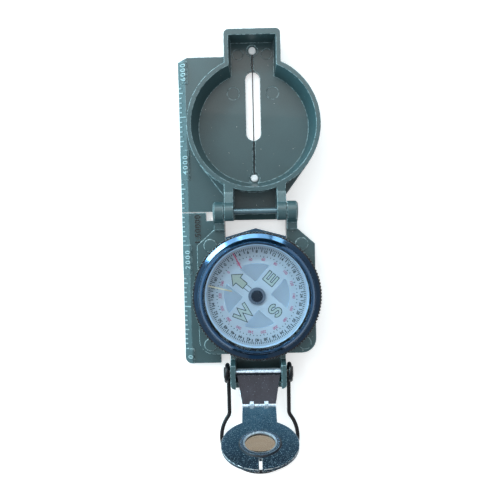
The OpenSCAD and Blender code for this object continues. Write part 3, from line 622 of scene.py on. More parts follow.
# Painted highlight: the near-white edges of the knurl's teeth stand in for glints.
KNURL_COAT = Finish(
    "Knurl_coat", "bezel_anodised", screen(34, 34, 38), screen(48, 47, 50), metallic=0.6, rough=(0.3, 0.42),
    mottle=0.4, bump=0.004, edge_mm=0.18, edge_wear_and_glint_tone=screen(208, 232, 240), edge_wear_and_glint_share=1.0,
)
DIAL_WHITE = Finish(
    "Dial_white", "dial_white", screen(178, 183, 191), screen(194, 199, 206), rough=(0.5, 0.65), mottle=0.7,
    mottle_scale=90, bump=0.003,
)
INK_DARK = Finish(
    "Dial_ink", "dial_white", screen(26, 30, 38), screen(44, 48, 54), rough=(0.5, 0.7), bump=0.002,
)
INK_RED = Finish(
    "Dial_red_ink", "dial_white", screen(170, 92, 120), screen(186, 112, 138), rough=(0.5, 0.7), bump=0.002,
)
INK_GREEN = Finish(
    "Dial_outline_ink", "dial_white", screen(14, 20, 22), screen(26, 34, 34), rough=(0.5, 0.7), bump=0.002,
)
ARROW_FILL = Finish(
    "Dial_glow_fill", "dial_white", screen(160, 164, 150), screen(176, 179, 165), rough=(0.5, 0.7),
    bump=0.004,
)
LETTER_FILL = Finish(
    "Dial_letter_fill", "dial_white", screen(168, 177, 171), screen(184, 192, 186), rough=(0.5, 0.7),
    bump=0.004,
)
LOOP_BLACK = Finish(
    "Loop_black", "loop_black", screen(9, 11, 16), screen(20, 23, 30), rough=(0.2, 0.36), bump=0.006,
    coat=0.08, specular=0.3, mottle=0.6, mottle_scale=200,
)
PIN_STEEL = Finish(
    "Pin_steel", "pin_steel", screen(120, 138, 148), screen(156, 170, 178), metallic=0.8, rough=(0.25, 0.4),
    streak=0.2, bump=0.004, edge_mm=0.15, edge_wear_and_glint_tone=screen(210, 220, 226), edge_wear_and_glint_share=0.4,
)
HINGE_STEEL = Finish(
    "Hinge_steel", "pin_steel", screen(82, 106, 116), screen(106, 132, 142), metallic=0.6,
    rough=(0.24, 0.38), streak=0.2, bump=0.005, edge_mm=0.15, edge_wear_and_glint_tone=screen(180, 204, 212),
    edge_wear_and_glint_share=0.4,
)
WIRE_STEEL = Finish(
    "Wire_steel", "pin_steel", screen(58, 64, 68), screen(96, 102, 106), metallic=0.8, rough=(0.2, 0.35),
    streak=0.2, bump=0.003,
)
# The bracket's plates and knuckle strip, in a darker copy of the steel whose lighter copy the disc takes.
BRACKET_STEEL = Finish(
    "Bracket_steel", "bracket_steel", screen(32, 35, 43), screen(48, 52, 62), metallic=0.7,
    rough=(0.26, 0.42), grain_scale=2600, mottle=0.35, mottle_scale=260, bump=0.02, edge_mm=0.3,
    edge_wear_and_glint_tone=screen(208, 220, 228), edge_wear_and_glint_share=1.0, speck_share=0.08, speck_scale=2900, speck_size=0.42,
    speck_tone=screen(84, 95, 108), streak=0.25,
)
# Painted light and shade: the disc is of one sheet with the plates but takes a lighter, bluer copy of their
# steel, and it darkens towards its lower end.
LIT_DISC_STEEL = Finish(
    "Disc_steel_painted_light_and_shade", "bracket_steel", screen(64, 100, 125), screen(104, 145, 170), metallic=0.55,
    rough=(0.24, 0.42), grain_scale=2600, mottle=0.3, mottle_scale=260, bump=0.03, edge_mm=0.42,
    edge_wear_and_glint_tone=screen(232, 240, 244), edge_wear_and_glint_share=1.0, speck_share=0.5, speck_scale=3500, speck_size=0.48,
    speck_tone=screen(166, 198, 214), painted_shade=(-45.0, -53.0), painted_shade_tone=screen(28, 48, 63),
)
# Painted shade: near black on the outer slope of the eyelet, as shade in its groove; its edges lighten a
# little.
GROOVE_SHADE = Finish(
    "Groove_painted_shade", "bracket_steel", screen(7, 14, 22), screen(16, 27, 39), metallic=0.2, rough=(0.36, 0.5),
    specular=0.25, bump=0.004, edge_mm=0.1, edge_wear_and_glint_tone=screen(186, 206, 218), edge_wear_and_glint_share=0.5,
)
# Painted highlight: bright steel on the knuckle's lines, the bend of the bracket and the inner lip of the
# eyelet, where these catch light.
HIGHLIGHT_STEEL = Finish(
    "Painted_highlight_steel", "bracket_steel", screen(150, 172, 190), screen(214, 226, 236), metallic=0.5,
    rough=(0.22, 0.4), grain_scale=1800, mottle=0.2, bump=0.02, streak=0.4, streak_scale=900,
)
EYELET_STEEL = Finish(
    "Eyelet_steel", "bracket_steel", screen(102, 122, 140), screen(144, 164, 180), metallic=0.85,
    rough=(0.18, 0.32), streak=0.15, bump=0.004, edge_mm=0.15, edge_wear_and_glint_tone=screen(226, 230, 232),
    edge_wear_and_glint_share=0.6,
)
# The plugs are luminous dots. Their glow is also painted light, which lifts the upper plug out of the shade
# in the lid's tab.
PLUG_WHITE = Finish(
    "Plug_white", "plug_white", screen(188, 196, 200), screen(214, 220, 222), rough=(0.4, 0.55),
    edge_mm=0.1, edge_wear_and_glint_tone=screen(236, 238, 238), edge_wear_and_glint_share=0.3, mottle=0.6, mottle_scale=400, glow=0.4,
)
LUME_LINE = Finish(
    "Lume_line", "lume_line", screen(218, 214, 186), screen(236, 232, 208), rough=(0.45, 0.6), bump=0.004,
)
RED_LINE = Finish(
    "Red_line", "red_paint", screen(170, 52, 92), screen(192, 76, 114), rough=(0.4, 0.55), bump=0.004,
)
HUB_METAL = Finish(
    "Hub_metal", "hub_metal", screen(98, 106, 120), screen(132, 140, 152), metallic=0.6, rough=(0.25, 0.4),
    edge_mm=0.12, edge_wear_and_glint_tone=screen(186, 198, 210), edge_wear_and_glint_share=0.5, bump=0.004,
)
CAP_DARK = Finish(
    "Cap_dark", "cap_dark", screen(10, 22, 36), screen(16, 30, 46), rough=(0.3, 0.4), bump=0.001,
    edge_mm=0.1, edge_wear_and_glint_tone=screen(96, 118, 140), edge_wear_and_glint_share=0.5,
)
INDEX_DARK = Finish(
    "Index_dark", "index_black", screen(50, 78, 102), screen(70, 100, 124), metallic=0.6, rough=(0.25, 0.4),
    edge_mm=0.12, edge_wear_and_glint_tone=screen(150, 182, 202), edge_wear_and_glint_share=0.7,
)
# Painted light: the cup glows a little, to brighten the dial's windows where little light reaches below the
# card.
GLOWING_CUP = Finish(
    "Cup_painted_glow", "capsule_plastic", screen(200, 220, 234), screen(212, 230, 243), rough=(0.4, 0.55),
    mottle=0.6, glow=0.21,
)
RUBBER = Finish("Seal_rubber", "seal_rubber", screen(20, 21, 23), screen(34, 35, 37), rough=(0.65, 0.8))
MAGNET = Finish(
    "Magnet_steel", "magnet_steel", screen(70, 74, 80), screen(104, 108, 114), metallic=0.8,
    rough=(0.35, 0.5), streak=0.2,
)
JEWEL = Finish(
    "Jewel_red", "jewel_ruby", screen(120, 16, 34), screen(160, 30, 52), rough=(0.1, 0.2), coat=0.5,
)
CLEAR_COVER = ClearFinish(
    "Clear_cover", "clear_plastic", (0.95, 0.98, 1.0), bend=1.12, rough_high=0.03, plain=0.92,
)
CRYSTAL = ClearFinish("Crystal", "clear_plastic", (0.95, 0.98, 1.0), bend=1.18, rough_high=0.04, plain=0.92)
LENS_GLASS = ClearFinish("Lens_glass", "lens_glass", (0.29, 0.23, 0.17), bend=1.25, rough_high=0.03)


def show(name: str, data: bpy.types.ID) -> Object:
    """Puts an object with its mesh, lamp or other data into the scene.

    Args:
        name: Name of the object.
        data: What it holds.

    Returns:
        The new object.
    """
    made = bpy.data.objects.new(name, data)
    bpy.context.scene.collection.objects.link(made)
    return made


def piece(name: str, mesh: Mesh, body: Body, finish: Coating) -> Object:
    """Puts a mesh into the scene as a piece of the compass.

    Args:
        name: Name of the piece.
        mesh: Its mesh, in the frame of the compass.
        body: The body it rides on.
        finish: Its finish.

    Returns:
        The new object.
    """
    mesh.name = name
    mesh.materials.clear()
    mesh.materials.append(finish.material())
    made = show(name, mesh)
    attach(made, body.value)
    LOG.info("piece %s rides on %s, %d faces", name, body.value, len(mesh.polygons))
    return made


def mesh_from(bm: BMesh, smooth_deg: float = 30.0) -> Mesh:
    """Closes a mesh under construction, with its normals outward.

    Args:
        bm: The mesh under construction, which is freed.
        smooth_deg: Edges flatter than this are shaded smooth.

    Returns:
        The finished mesh.
    """
    bmesh.ops.remove_doubles(bm, verts=bm.verts, dist=WELD_M)
    bmesh.ops.recalc_face_normals(bm, faces=bm.faces)
    limit = math.radians(smooth_deg)
    for face in bm.faces:
        face.smooth = True
    for edge in bm.edges:
        edge.smooth = len(edge.link_faces) == 2 and edge.calc_face_angle(0.0) < limit
    mesh = bpy.data.meshes.new("piece")
    bm.to_mesh(mesh)
    bm.free()
    return mesh


def circle(
    bm: BMesh, middle: Vector, across: Vector, upward: Vector, radius: float, sides: int
) -> list[BMVert]:
    """Adds the points of a circle to a mesh.

    Args:
        bm: The mesh under construction.
        middle: Its middle.
        across: One direction in its plane.
        upward: The direction square to it.
        radius: Its radius.
        sides: Number of points.

    Returns:
        The points, in order.
    """
    turns = [2 * math.pi * k / sides for k in range(sides)]
    rays = [across * math.cos(turn) + upward * math.sin(turn) for turn in turns]
    return [bm.verts.new((middle + ray * radius) * MM) for ray in rays]


def band(bm: BMesh, first: Sequence[BMVert], second: Sequence[BMVert]) -> None:
    """Joins two closed rows of points by a band of faces.

    Args:
        bm: The mesh under construction.
        first: The points of one row, in order.
        second: The points of the other row.
    """
    for k in range(len(first)):
        m = (k + 1) % len(first)
        bm.faces.new((first[k], first[m], second[m], second[k]))


def prism(bm: BMesh, outline: Sequence[Flat], low: Heights, high: Heights) -> None:
    """Adds a closed upright prism to a mesh.

    Args:
        bm: The mesh under construction.
        outline: Corners of the plan, in order.
        low: Height of the foot at a place in the plan.
        high: Height of the top at a place in the plan.
    """
    foot = [bm.verts.new((x * MM, y * MM, low(x, y) * MM)) for x, y in outline]
    top = [bm.verts.new((x * MM, y * MM, high(x, y) * MM)) for x, y in outline]
    bm.faces.new(top)
    bm.faces.new(foot[::-1])
    band(bm, foot, top)


def block_letter(width: float, height: float, stem: float, arm: float) -> list[Flat]:
    """Draws a letter with one upright and three arms.

    Args:
        width: Width of the letter.
        height: Height of the letter.
        stem: Width of the upright.
        arm: Thickness of an arm.

    Returns:
        The corners, counter-clockwise, with the middle of the letter at the origin.
    """
    x0, x1, x2 = -width / 2, stem - width / 2, width / 2
    y0, y1 = -height / 2, height / 2
    return [
        (x0, y0), (x2, y0), (x2, y0 + arm), (x1, y0 + arm), (x1, -arm / 2), (x2, -arm / 2),
        (x2, arm / 2), (x1, arm / 2), (x1, y1 - arm), (x2, y1 - arm), (x2, y1), (x0, y1),
    ]


def grown(corners: Sequence[Flat], amount: float) -> list[Flat]:
    """Moves the sides of a shape outward.

    Args:
        corners: Corners of the shape, counter-clockwise.
        amount: Distance by which each side moves.

    Returns:
        The corners of the larger shape.
    """
    made = []
    count = len(corners)
    for i in range(count):
        before = Vector(corners[i]) - Vector(corners[i - 1])
        after = Vector(corners[(i + 1) % count]) - Vector(corners[i])
        first = Vector((before.y, -before.x)).normalized()
        second = Vector((after.y, -after.x)).normalized()
        middle = first + second
        shift = middle * (amount / max(SHARPEST, 1.0 + first.dot(second)))
        made.append((corners[i][0] + shift.x, corners[i][1] + shift.y))
    return made


def ribbon(line: Sequence[Flat], half: float) -> list[Flat]:
    """Draws a stroke of even width along a line.

    Args:
        line: Points of its middle line.
        half: Half of its width.

    Returns:
        The corners of the stroke, counter-clockwise.
    """
    left, right = [], []
    last = len(line) - 1
    for i, point in enumerate(line):
        here = Vector(point)
        before = (here - Vector(line[i - 1])).normalized() if i else None
        after = (Vector(line[i + 1]) - here).normalized() if i < last else None
        first, second = before or after, after or before
        middle = Vector((-first.y - second.y, first.x + second.x))
        shift = middle * (half / max(SHARPEST, 1.0 + first.dot(second)))
        left.append((here.x + shift.x, here.y + shift.y))
        right.append((here.x - shift.x, here.y - shift.y))
    return right + left[::-1]


@dataclass(frozen=True)
class Lettering:
    """A row of plain figures or letters.

    Attributes:
        text: The characters.
        height: Height of a character.
        spacing: Distance between characters, as a share of the usual one.
        swell: Growth of each stroke to both sides.
        capital: Height of a capital, as a share of the type size.
        steps: Number of steps in a bend.
        depth: Half of the thickness before the row is put in place.
    """

    text: str
    height: float
    spacing: float
    swell: float = 0.05
    capital: float = 0.72
    steps: int = 3
    depth: float = 0.5

    def add_to(self, bm: BMesh, place: Callable[[float, float, bool], Point]) -> None:
        """Adds the characters to a mesh.

        Args:
            bm: The mesh under construction.
            place: Gives the point of the compass for a place in the row and whether it is on the top face.
        """
        curve = bpy.data.curves.new("lettering", "FONT")
        curve.body = self.text
        curve.size = self.height / self.capital
        curve.space_character = self.spacing
        curve.offset = self.swell
        curve.extrude = self.depth
        curve.resolution_u = self.steps
        curve.align_x = "CENTER"
        holder = show("lettering", curve)
        graph = bpy.context.evaluated_depsgraph_get()
        flat = bpy.data.meshes.new_from_object(holder.evaluated_get(graph))
        for vert in flat.vertices:
            x, y, z = vert.co
            vert.co = Vector(place(x, y - self.height / 2, z > 0)) * MM
        bm.from_mesh(flat)
        bpy.data.objects.remove(holder)
        bpy.data.curves.remove(curve)
        bpy.data.meshes.remove(flat)


def resurface(node: str, body: Body, finish: Coating, smooth_deg: float = 32.0) -> Object:
    """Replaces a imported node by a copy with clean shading.

    Args:
        node: Name of the node.
        body: The body it rides on.
        finish: Its finish.
        smooth_deg: Edges flatter than this are shaded smooth.

    Returns:
        The copy that stands for the node.
    """
    bm = bmesh.new()
    bm.from_mesh(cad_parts[node].data)
    bmesh.ops.remove_doubles(bm, verts=bm.verts, dist=SEAM_M)
    bmesh.ops.dissolve_degenerate(bm, edges=bm.edges, dist=SLIVER_M)
    made = piece(f"{node}_dressed", mesh_from(bm, smooth_deg), body, finish)
    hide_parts(node)
    return made


def finish_zones(made: Object, others: Sequence[Coating], zone: Callable[[MeshPolygon], IntEnum]) -> None:
    """Gives places of a piece finishes of their own.

    Args:
        made: The piece, which has its first finish.
        others: Its other finishes, in order.
        zone: Tells which place a face belongs to.
    """
    for finish in others:
        made.data.materials.append(finish.material())
    for face in made.data.polygons:
        face.material_index = int(zone(face))


@dataclass
class Assembly:
    """A group of parts that is dressed and built together.

    Attributes:
        finishes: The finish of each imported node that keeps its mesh, by node name.
    """

    finishes: dict[str, Coating] = field(default_factory=dict)

    def dress(self) -> None:
        """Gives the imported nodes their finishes."""
        for node, finish in self.finishes.items():
            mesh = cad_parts[node].data
            mesh.materials.clear()
            mesh.materials.append(finish.material())
            LOG.info("node %s dressed in %s", node, finish.name)

    def build(self) -> None:
        """Dresses the nodes; assemblies with pieces of their own add these."""
        self.dress()


@dataclass(frozen=True)
class RulerFigure:
    """A raised number that reads up the ruler.

    Attributes:
        name: Name of the piece.
        text: The number.
        x: Its middle across the ruler.
        y: Its middle along the ruler.
        spacing: Spacing of its figures.
        body: The case or the lid.
        height: Height of a figure.
        finish: Its finish.
    """

    name: str
    text: str
    x: float
    y: float
    spacing: float
    body: Body
    height: float = 2.2
    finish: Finish = FIGURE_HIGHLIGHT


@dataclass
class RulerScale(Assembly):
    """The raised ruler along the left edge of the case and the lid.

    Attributes:
        edge_x: Outer edge of the ruler.
        bevel: Width of its bevel, and length of the tick at a thousand.
        edge_z: Height of the bevel at the outer edge.
        top_z: Height of the flange.
        pad: Width of a number pad.
        pad_slack: How far beyond its width a pad still counts.
        pad_rise: Rise of a number pad.
        hinge_y: Place of the hinge.
        hinge_at: The thousand that lies at the hinge.
        step: Length of a thousand.
        parts: Number of ticks in a thousand.
        tick_count: Number of ticks.
        half_tick: Length of the tick at five hundred.
        short_tick: Length of the other ticks.
        tick_inset: Distance of the ticks from the outer edge.
        clear: Room kept free of ticks at the hinge and the pads.
        rise: Rise of ticks and figures.
        sink: Depth to which they are rooted in the flange.
        tick_w: Width of a tick.
        pads: Ends of the pads along the ruler.
        figures: The numbers.
    """

    edge_x: float = -31.2
    bevel: float = 3.0
    edge_z: float = 1.0
    top_z: float = 2.6
    pad: float = 3.9
    pad_slack: float = 0.01
    pad_rise: float = 0.35
    hinge_y: float = 35.0
    hinge_at: int = 3
    step: float = 20.0
    parts: int = 10
    tick_count: int = 62
    half_tick: float = 1.9
    short_tick: float = 1.25
    tick_inset: float = 0.12
    clear: float = 0.5
    rise: float = 0.34
    sink: float = 0.1
    tick_w: float = 0.42
    pads: tuple[Flat, ...] = ((-29.5, -23.2), (8.75, 21.25), (48.75, 61.25), (88.75, 97.9))
    figures: tuple[RulerFigure, ...] = (
        RulerFigure("figure_zero", "0", -28.9, -26.7, 1.0, Body.BASE),
        RulerFigure("figure_two", "2000", -29.1, 15.0, 1.4, Body.BASE),
        RulerFigure("figure_four", "4000", -29.1, 55.0, 1.4, Body.LID),
        RulerFigure("figure_six", "6000", -29.1, 93.4, 1.25, Body.LID),
        RulerFigure("figure_ratio", "1:50000", -24.6, 27.8, 1.12, Body.BASE, 2.5, LEGEND_SHADE),
    )

    def surface(self, x: float, y: float) -> float:
        """Gives the height of the ruler's surface.

        Args:
            x: Place across the ruler.
            y: Place along the ruler.

        Returns:
            The height.
        """
        inside = x - self.edge_x
        on_pad = inside <= self.pad + self.pad_slack and any(low <= y <= high for low, high in self.pads)
        slope = self.edge_z + (self.top_z - self.edge_z) * min(inside / self.bevel, 1.0)
        return slope + (self.pad_rise if on_pad else 0.0)

    def foot(self, x: float, y: float) -> float:
        """Gives the height at which a tick is rooted."""
        return self.surface(x, y) - self.sink

    def crest(self, x: float, y: float) -> float:
        """Gives the height of the top of a tick."""
        return self.surface(x, y) + self.rise

    def length(self, count: int) -> float:
        """Gives the length of a tick.

        Args:
            count: Its number, from the lower end.

        Returns:
            The length.
        """
        if count % self.parts == 0:
            return self.bevel
        return self.half_tick if count % (self.parts // 2) == 0 else self.short_tick

    def ticks(self, body: Body) -> Object:
        """Builds the ticks of one half of the ruler.

        Args:
            body: The case or the lid.

        Returns:
            The ticks as one piece.
        """
        bm = bmesh.new()
        half = self.tick_w / 2
        for count in range(self.tick_count):
            y = self.hinge_y - self.hinge_at * self.step + count * self.step / self.parts
            on_lid = y > self.hinge_y
            if on_lid != (body is Body.LID) or abs(y - self.hinge_y) < self.clear:
                continue
            if any(low - self.clear <= y <= high + self.clear for low, high in self.pads):
                continue
            x0, x1 = self.edge_x + self.tick_inset, self.edge_x + self.length(count)
            corners = [(x0, y - half), (x1, y - half), (x1, y + half), (x0, y + half)]
            prism(bm, corners, self.foot, self.crest)
        return piece(f"ruler_ticks_{body.value}", mesh_from(bm), body, FIGURE_HIGHLIGHT)

    def figure(self, number: RulerFigure) -> Object:
        """Builds one raised number.

        Args:
            number: The number.

        Returns:
            The number as one piece.
        """
        bm = bmesh.new()

        def place(across: float, up: float, top: bool) -> Point:
            """Turns the row to read up the ruler."""
            x, y = number.x - up, number.y + across
            return x, y, self.crest(x, y) if top else self.foot(x, y)

        Lettering(number.text, number.height, number.spacing).add_to(bm, place)
        return piece(number.name, mesh_from(bm), number.body, number.finish)

    def build(self) -> None:
        """Builds the ticks and the numbers of both halves."""
        for body in (Body.BASE, Body.LID):
            self.ticks(body)
        for number in self.figures:
            self.figure(number)


@dataclass
class CaseAssembly(Assembly):
    """The case with its ruler flange, hinge arms and tray, and the capsule in it."""

    finishes: dict[str, Coating] = field(default_factory=lambda: {
        "base_case": CASE_PAINT,
        "lid_hinge_pin": HINGE_STEEL,
        "lens_hinge_pin": PIN_STEEL,
        "bezel_retainer": PIN_STEEL,
        "index_washer": INDEX_DARK,
        "capsule_cup": GLOWING_CUP,
        "capsule_seal": RUBBER,
        "capsule_cover": CLEAR_COVER,
        "pivot_pin": PIN_STEEL,
        "loop_studs": LOOP_BLACK,
    })


@dataclass
class LidAssembly(Assembly):
    """The lid with its sighting wire and plugs."""

    finishes: dict[str, Coating] = field(default_factory=lambda: {
        "lid_shell": CASE_PAINT,
        "sight_wire": WIRE_STEEL,
        "upper_wire_plug": PLUG_WHITE,
        "lower_wire_plug": PLUG_WHITE,
    })


@dataclass
class BezelAssembly(Assembly):
    """The turning bezel with its crystal and lines.

    Attributes:
        knurl_r: Radius outside which the ring is knurled.
        slope_r: Radius at which the outer slope of the ring starts.
        slope_up: Least upward part of the normal on that slope.
        smooth_deg: Edges of the ring flatter than this are shaded smooth.
    """

    knurl_r: float = 25.8
    slope_r: float = 24.15
    slope_up: float = 0.7
    smooth_deg: float = 25.0
    finishes: dict[str, Coating] = field(default_factory=lambda: {
        "bezel_crystal": CRYSTAL,
        "crystal_gasket": RUBBER,
        "bearing_line": LUME_LINE,
        "red_line": RED_LINE,
    })

    def zone(self, face: MeshPolygon) -> RingZone:
        """Tells which place of the ring a face belongs to.

        Args:
            face: A face of the ring.

        Returns:
            The place.
        """
        radius = math.hypot(face.center.x, face.center.y) / MM
        if radius > self.knurl_r:
            return RingZone.KNURL
        on_slope = radius > self.slope_r and face.normal.z > self.slope_up
        return RingZone.SLOPE if on_slope else RingZone.TOP

    def build(self) -> None:
        """Dresses the nodes of the bezel, and gives the knurl and the slope of the ring their own coats."""
        self.dress()
        ring = resurface("bezel_ring", Body.BEZEL, BEZEL_COAT, self.smooth_deg)
        finish_zones(ring, (KNURL_COAT, SLOPE_COAT), self.zone)


@dataclass(frozen=True)
class TickRing:
    """A ring of printed ticks.

    Attributes:
        count: Number of ticks.
        every: A tick whose number this divides is long.
        r_out: Radius of their outer ends.
        long: Length and width of a long tick.
        short: Length and width of a short tick.
    """

    count: int
    every: int
    r_out: float
    long: Flat
    short: Flat


@dataclass(frozen=True)
class FigureRing:
    """A ring of printed figures with their feet to the middle.

    Attributes:
        count: Number of figures, clockwise from zero at north.
        step: Difference between two figures.
        r: Radius of their middles.
        height: Height of a figure.
        shift: Turn of the ring, as a share of the way between two figures.
        spacing: Spacing of the characters.
    """

    count: int
    step: int
    r: float
    height: float
    shift: float
    spacing: float = 0.95


@dataclass
class DialAssembly(Assembly):
    """The floating dial with its print.

    Attributes:
        face_z: Height of the face of the card.
        north: Direction of north at rest, in degrees.
        ink: Thickness of a layer of print.
        root: Depth to which the print is rooted in the card.
        black_ticks: The ticks at the rim, and those between the two rings of figures.
        black_figures: The outer figures.
        red_figures: The inner figures.
        outline: Width of the dark line around the letters and the arrow.
        stroke: Half of the width of a stroke of the letters S and W.
        east: Width, height, upright and arm of the letter E.
        bow: Half of the width and of the height of a bow of the letter S.
        bow_y: Height of the middle of a bow.
        bow_step: Turn between two points of a bow, in degrees.
        bow_starts: Turns at which the upper and the lower bow start.
        bow_points: Number of points of the upper and the lower bow.
        west: Bends of the letter W.
        places: Middles of E, S and W, towards north and to its right.
        arrow_shape: Corners of the arrow, to the right of north and towards it.
        tail: Ends of the double line behind the arrow.
        tail_side: Distance of these lines from the middle.
        tail_w: Width of these lines.
    """

    face_z: float = 9.7
    north: float = 139.0
    ink: float = 0.02
    root: float = 0.01
    black_ticks: tuple[TickRing, TickRing] = (
        TickRing(160, 5, 20.2, (2.0, 0.34), (0.85, 0.28)),
        TickRing(72, 4, 16.8, (0.75, 0.26), (0.45, 0.3)),
    )
    black_figures: FigureRing = FigureRing(32, 2, 18.5, 1.3, 0.42)
    red_figures: FigureRing = FigureRing(18, 20, 15.3, 1.15, 0.0)
    outline: float = 0.28
    stroke: float = 0.5
    east: tuple[float, float, float, float] = (4.5, 4.8, 1.0, 0.9)
    bow: Flat = (1.55, 1.1)
    bow_y: float = 1.12
    bow_step: float = 17
    bow_starts: Flat = (15, 73)
    bow_points: tuple[int, int] = (16, 15)
    west: tuple[Flat, ...] = ((-3.2, 2.3), (-1.65, -2.2), (0.0, 1.6), (1.65, -2.2), (3.2, 2.3))
    places: tuple[Flat, Flat, Flat] = ((0.2, 9.2), (-9.7, 0.1), (0.0, -9.2))
    arrow_shape: tuple[Flat, ...] = (
        (0.0, 13.5), (-2.9, 10.4), (-1.3, 10.3), (-1.3, 6.6), (1.3, 6.6), (1.3, 10.3), (2.9, 10.4),
    )
    tail: Flat = (3.7, 6.4)
    tail_side: float = 0.95
    tail_w: float = 0.26
    finishes: dict[str, Coating] = field(default_factory=lambda: {
        "dial_card": DIAL_WHITE,
        "magnet_bar": MAGNET,
        "hub_cup": HUB_METAL,
        "hub_cap": CAP_DARK,
        "jewel": JEWEL,
    })

    def layer(self, level: int) -> tuple[Heights, Heights]:
        """Gives the foot and the top of a layer of print.

        Args:
            level: 1 for the first layer on the card, 2 for the one above it.

        Returns:
            Two functions that give heights.
        """
        top = self.face_z + self.ink * level
        return (lambda x, y: self.face_z - self.root), (lambda x, y: top)

    def turned(self, out: float, side: float, deg: float) -> Flat:
        """Turns a place given along and across a direction into the plan.

        Args:
            out: Distance along the direction.
            side: Distance to its right.
            deg: The direction, from +X.

        Returns:
            The place in the plan.
        """
        c, s = math.cos(math.radians(deg)), math.sin(math.radians(deg))
        return out * c + side * s, out * s - side * c

    def bar(self, bm: BMesh, ends: Flat, side: float, width: float, deg: float) -> None:
        """Adds a straight printed bar that runs outward.

        Args:
            bm: The mesh under construction.
            ends: Distances of its ends from the middle of the dial.
            side: Its distance to the right of the direction.
            width: Its width.
            deg: The direction, from +X.
        """
        near, far = ends
        left, right = side - width / 2, side + width / 2
        corners = [(near, right), (near, left), (far, left), (far, right)]
        prism(bm, [self.turned(out, across, deg) for out, across in corners], *self.layer(1))

    def ring_of_ticks(self, bm: BMesh, ring: TickRing) -> None:
        """Adds a ring of ticks.

        Args:
            bm: The mesh under construction.
            ring: The ring.
        """
        for i in range(ring.count):
            length, width = ring.short if i % ring.every else ring.long
            deg = self.north - FULL_TURN * i / ring.count
            self.bar(bm, (ring.r_out - length, ring.r_out), 0.0, width, deg)

    def figure(self, bm: BMesh, ring: FigureRing, i: int) -> None:
        """Adds one figure of a ring.

        Args:
            bm: The mesh under construction.
            ring: The ring.
            i: Place of the figure, clockwise from north.
        """
        low, high = self.layer(1)
        deg = self.north - FULL_TURN * (i + ring.shift) / ring.count

        def place(across: float, up: float, top: bool) -> Point:
            """Lays a point of the figure on the card."""
            x, y = self.turned(ring.r + up, across, deg)
            return x, y, high(x, y) if top else low(x, y)

        Lettering(str(ring.step * i), ring.height, ring.spacing).add_to(bm, place)

    def scales(self) -> None:
        """Prints the two scales."""
        bm = bmesh.new()
        for ring in self.black_ticks:
            self.ring_of_ticks(bm, ring)
        for i in range(self.black_figures.count):
            self.figure(bm, self.black_figures, i)
        piece("dial_black_scale", mesh_from(bm), Body.DIAL, INK_DARK)
        bm = bmesh.new()
        for i in range(self.red_figures.count):
            self.figure(bm, self.red_figures, i)
        piece("dial_red_scale", mesh_from(bm), Body.DIAL, INK_RED)

    def outlined(self, name: str, shapes: Sequence[tuple[Sequence[Flat], Flat]], fill: Finish) -> None:
        """Prints shapes with a dark outline, which stand upright with north at the top.

        Args:
            name: What the shapes are.
            shapes: The corners of each shape, and its place towards north and to its right.
            fill: Finish inside the outline.
        """
        for grow, level, finish, part in ((self.outline, 1, INK_GREEN, "outline"), (0.0, 2, fill, "fill")):
            bm = bmesh.new()
            for corners, (out, side) in shapes:
                plan = [self.turned(out + y, side + x, self.north) for x, y in grown(corners, grow)]
                prism(bm, plan, *self.layer(level))
            piece(f"dial_{name}_{part}", mesh_from(bm), Body.DIAL, finish)

    def bow_line(self, start: float, step: float, count: int, middle: float) -> list[Flat]:
        """Gives the points of one bow of the letter S.

        Args:
            start: Turn of its first point, in degrees.
            step: Turn between two points.
            count: Number of points.
            middle: Height of its middle.

        Returns:
            The points.
        """
        wide, tall = self.bow
        turns = [math.radians(start + step * i) for i in range(count)]
        return [(wide * math.cos(turn), middle + tall * math.sin(turn)) for turn in turns]

    def letters(self) -> None:
        """Prints the letters E, S and W."""
        upper = self.bow_line(self.bow_starts[0], self.bow_step, self.bow_points[0], self.bow_y)
        lower = self.bow_line(self.bow_starts[1], -self.bow_step, self.bow_points[1], -self.bow_y)
        shapes = (
            block_letter(*self.east), ribbon(upper + lower, self.stroke), ribbon(self.west, self.stroke)
        )
        self.outlined("letter", list(zip(shapes, self.places)), LETTER_FILL)

    def arrow(self) -> None:
        """Prints the north arrow, with the double line that runs to the hub."""
        self.outlined("arrow", [(self.arrow_shape, (0.0, 0.0))], ARROW_FILL)
        bm = bmesh.new()
        for side in (-self.tail_side, self.tail_side):
            self.bar(bm, self.tail, side, self.tail_w, self.north)
        piece("dial_arrow_tail", mesh_from(bm), Body.DIAL, INK_DARK)

    def build(self) -> None:
        """Dresses and prints the dial."""
        self.dress()
        self.scales()
        self.letters()
        self.arrow()


